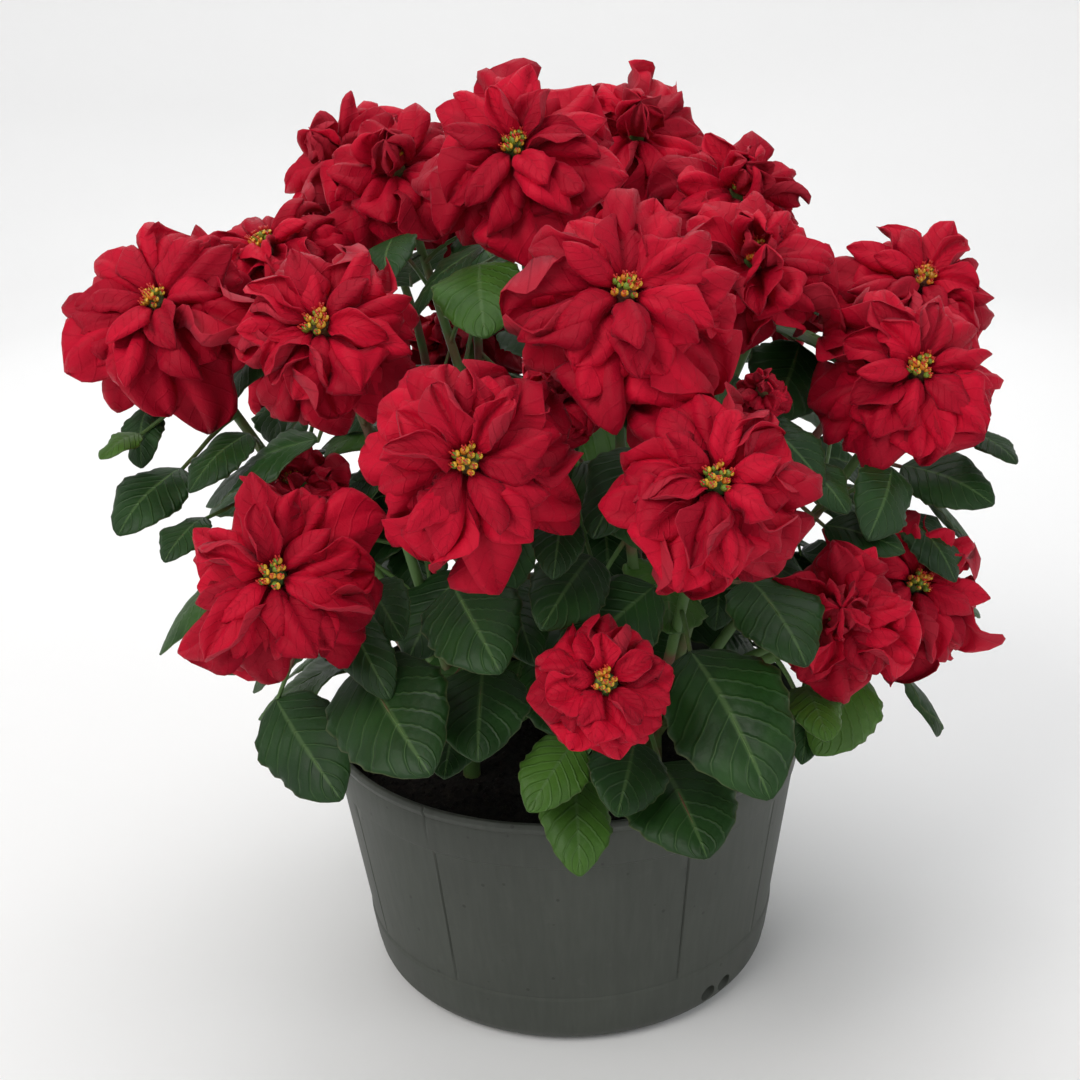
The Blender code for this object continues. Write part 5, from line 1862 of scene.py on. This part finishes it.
def make_pot(paint):
    """The moulded pot with its drain holes cut."""
    pot = linked("pot_shell", ring_mesh("pot_shell", pot_profile(), pot_columns(), pot_dent))
    group = bpy.data.collections.new("drain_rods")
    for bearing in DRAIN_BEARINGS:
        drain_rod(bearing, group)
    holes = pot.modifiers.new("Drain holes", "BOOLEAN")
    holes.operand_type = "COLLECTION"
    holes.collection = group
    holes.solver = "EXACT"
    graph = bpy.context.evaluated_depsgraph_get()
    drilled = bpy.data.meshes.new_from_object(pot.evaluated_get(graph))
    pot.modifiers.remove(holes)
    for rod in list(group.objects):
        bpy.data.objects.remove(rod)
    bpy.data.collections.remove(group)
    pot.data = drilled
    pot.data.shade_smooth()
    pot.data.set_sharp_from_angle(angle=math.radians(SHARP_EDGE))
    pot.data.materials.clear()
    pot.data.materials.append(paint)
    fix(pot, "pot_plastic", "pot")


def peat_height(place):
    """Height of the peat's uneven surface at a level place: a flat mound that falls off to the edge."""
    reach = math.hypot(place.x, place.y)
    share = min(1.0, max(0.0, (reach - SOIL_MOUND_RADIUS) / PEAT_SLOPE))
    top = SOIL_MOUND_TOP - PEAT_SINK
    level = Vector((place.x, place.y, 0.0))
    rough = noise.noise(level * PEAT_LUMPS) + 0.5 * noise.noise(place * PEAT_GRAINS)
    return top - (top - SOIL_EDGE_TOP) * share + rough * PEAT_ROUGH


def crumb_tree():
    """Crumbs of peat scattered over a surface."""
    plan = GeometryTree("Crumbs", density=26000.0, smallest=0.0008, largest=0.0026, seed=5)
    tree = plan.tree
    spread = plan.node("GeometryNodeDistributePointsOnFaces", Mesh=plan.given.outputs["Geometry"],
                       Density=plan.number("Density"), Seed=plan.number("Seed"))
    ball = plan.node("GeometryNodeMeshIcoSphere", Radius=1.0, Subdivisions=1)
    size = plan.node("FunctionNodeRandomValue", Seed=plan.number("Seed"))
    feed(tree, size.inputs[2], plan.number("Smallest"))
    feed(tree, size.inputs[3], plan.number("Largest"))
    turn = plan.node("FunctionNodeRandomValue", Seed=plan.number("Seed"))
    turn.data_type = "FLOAT_VECTOR"
    turn.inputs[1].default_value = (ANY_PHASE, ANY_PHASE, ANY_PHASE)
    many = plan.node("GeometryNodeInstanceOnPoints", Points=spread.outputs["Points"],
                     Instance=ball.outputs[0])
    feed(tree, many.inputs["Rotation"], turn.outputs[0])
    feed(tree, many.inputs["Scale"], Number(tree, size.outputs[1]))
    return plan.finish(many.outputs[0])


def peat_profile(edge, bottom):
    """Outline of the peat from the pot's floor up to the edge of its surface, and in to the middle."""
    reaches = [edge - PEAT_EDGE_GAP - step * edge / PEAT_RINGS for step in range(PEAT_RINGS)]
    profile = [(0.0, FLOOR + GAP), (FOOT_RADIUS - 2 * GAP, FLOOR + GAP),
               (bottom - 2 * GAP, FLOOR + INNER_CORNER + GAP), (edge, SOIL_EDGE_TOP - PEAT_SHOULDER)]
    return profile + [(reach, SOIL_EDGE_TOP) for reach in reaches] + [(0.0, SOIL_EDGE_TOP)]


def peat_cover(body, edge):
    """The top surface of the peat by itself, for the crumbs to lie on."""
    surface = bmesh.new()
    surface.from_mesh(body.data)
    middles = {face: face.calc_center_median() for face in surface.faces}
    away = [face for face, middle in middles.items() if middle.z < SOIL_EDGE_TOP - PEAT_COVER
            or math.hypot(middle.x, middle.y) > edge - PEAT_SHOULDER]
    bmesh.ops.delete(surface, geom=away, context="FACES")
    cover = bpy.data.meshes.new("cover")
    surface.to_mesh(cover)
    surface.free()
    return cover


def make_peat(paint):
    """The peat's body with an uneven top, and crumbs over it."""
    top = band_radius(POT_HEIGHT) - WALL - LIP_PROUD
    bottom = band_radius(FLOOR + INNER_CORNER) - WALL
    slope = (top - bottom) / (POT_HEIGHT - FLOOR - INNER_CORNER)
    edge = bottom + slope * (SOIL_EDGE_TOP - FLOOR - INNER_CORNER) - GAP * 1.5
    bearings = [360.0 * step / PEAT_COLUMNS for step in range(PEAT_COLUMNS)]
    body = linked("body", ring_mesh("body", peat_profile(edge, bottom), bearings))
    for point in body.data.vertices:
        if point.co.z > SOIL_EDGE_TOP - PEAT_TOP:
            point.co.z = peat_height(point.co)
    body.data.shade_smooth()
    body.data.materials.append(paint)
    crumbs = grown("crumbs", crumb_tree(), peat_cover(body, edge), material=paint)
    fix(joined("peat_top", [body, crumbs]), "peat", "soil")


def make_stage():
    """Pale floor that runs up into an even wall all round."""
    profile = [(0.0, 0.0), (FLOOR_FLAT, 0.0)]
    for turn in range(10, 91, 10):
        angle = math.radians(turn)
        profile.append((FLOOR_FLAT + (FLOOR_WALL - FLOOR_FLAT) * math.sin(angle),
                        FLOOR_RISE * (1 - math.cos(angle))))
    points = []
    faces = []
    for radius, height in profile[1:]:
        points += [toward(360.0 * step / FLOOR_SIDES) * radius + Vector((0, 0, height))
                   for step in range(FLOOR_SIDES)]
    for ring in range(len(profile) - 2):
        for step in range(FLOOR_SIDES):
            a = ring * FLOOR_SIDES + step
            b = ring * FLOOR_SIDES + (step + 1) % FLOOR_SIDES
            faces.append((b, a, a + FLOOR_SIDES, b + FLOOR_SIDES))
    faces.append(tuple(range(FLOOR_SIDES)))
    mesh = bpy.data.meshes.new("studio_floor")
    mesh.from_pydata([tuple(point) for point in points], [], faces)
    mesh.shade_smooth()
    mesh.materials.append(floor_paint())
    floor = linked("studio_floor", mesh)


def add_light(name, place, target, size, power, colour):
    """A round area light."""
    lamp = bpy.data.lights.new(name, "AREA")
    lamp.shape = "DISK"
    lamp.size = size
    lamp.energy = power
    lamp.color = colour
    thing = linked(name, lamp)
    thing.location = place
    thing.rotation_euler = (Vector(target) - Vector(place)).to_track_quat("-Z", "Y").to_euler()


def light_scene():
    """Soft studio lights, a pale sky, and colours as they are."""
    for row in LIGHTS:
        add_light(*row)
    world = bpy.data.worlds.new("studio")
    world.use_nodes = True
    world.node_tree.nodes["Background"].inputs["Color"].default_value = (1.0, 1.0, 1.0, 1.0)
    world.node_tree.nodes["Background"].inputs["Strength"].default_value = SKY_STRENGTH
    bpy.context.scene.world = world
    bpy.context.scene.view_settings.view_transform = "Standard"


def make_camera():
    """The photo's viewpoint, fitted to the pot's rim, lip and base."""
    pitch, yaw, roll = (math.radians(angle) for angle in (CAMERA_PITCH, CAMERA_YAW, CAMERA_ROLL))
    ahead = Vector((math.sin(yaw) * math.cos(pitch), math.cos(yaw) * math.cos(pitch), -math.sin(pitch)))
    right = Vector((math.cos(yaw), -math.sin(yaw), 0.0))
    up = right.cross(ahead)
    right, up = right * math.cos(roll) + up * math.sin(roll), up * math.cos(roll) - right * math.sin(roll)
    lens = bpy.data.cameras.new("camera")
    lens.sensor_width = CAMERA_SENSOR
    lens.lens = CAMERA_LENS
    camera = linked("camera", lens)
    place = Matrix((right, up, -ahead)).transposed().to_4x4()
    place.translation = CAMERA_PLACE
    camera.matrix_world = place
    bpy.context.scene.camera = camera


def main():
    """The whole scene: camera, floor and lights, then every piece of the plant and its pot."""
    heads, paths, bracts, leaves = layout()
    blades = blade_tree()
    stem_green = stem_paint()
    make_camera()
    make_stage()
    light_scene()
    make_pot(pot_paint())
    make_peat(peat_paint())
    make_stems(heads, paths, leaves, tube_tree(), stem_green)
    make_leaves(leaves, blades, leaf_paint())
    red = bract_paint()
    for head in heads:
        make_head(head, bracts, blades, red)
    make_florets(heads, floret_tree(), floret_paint())


main()
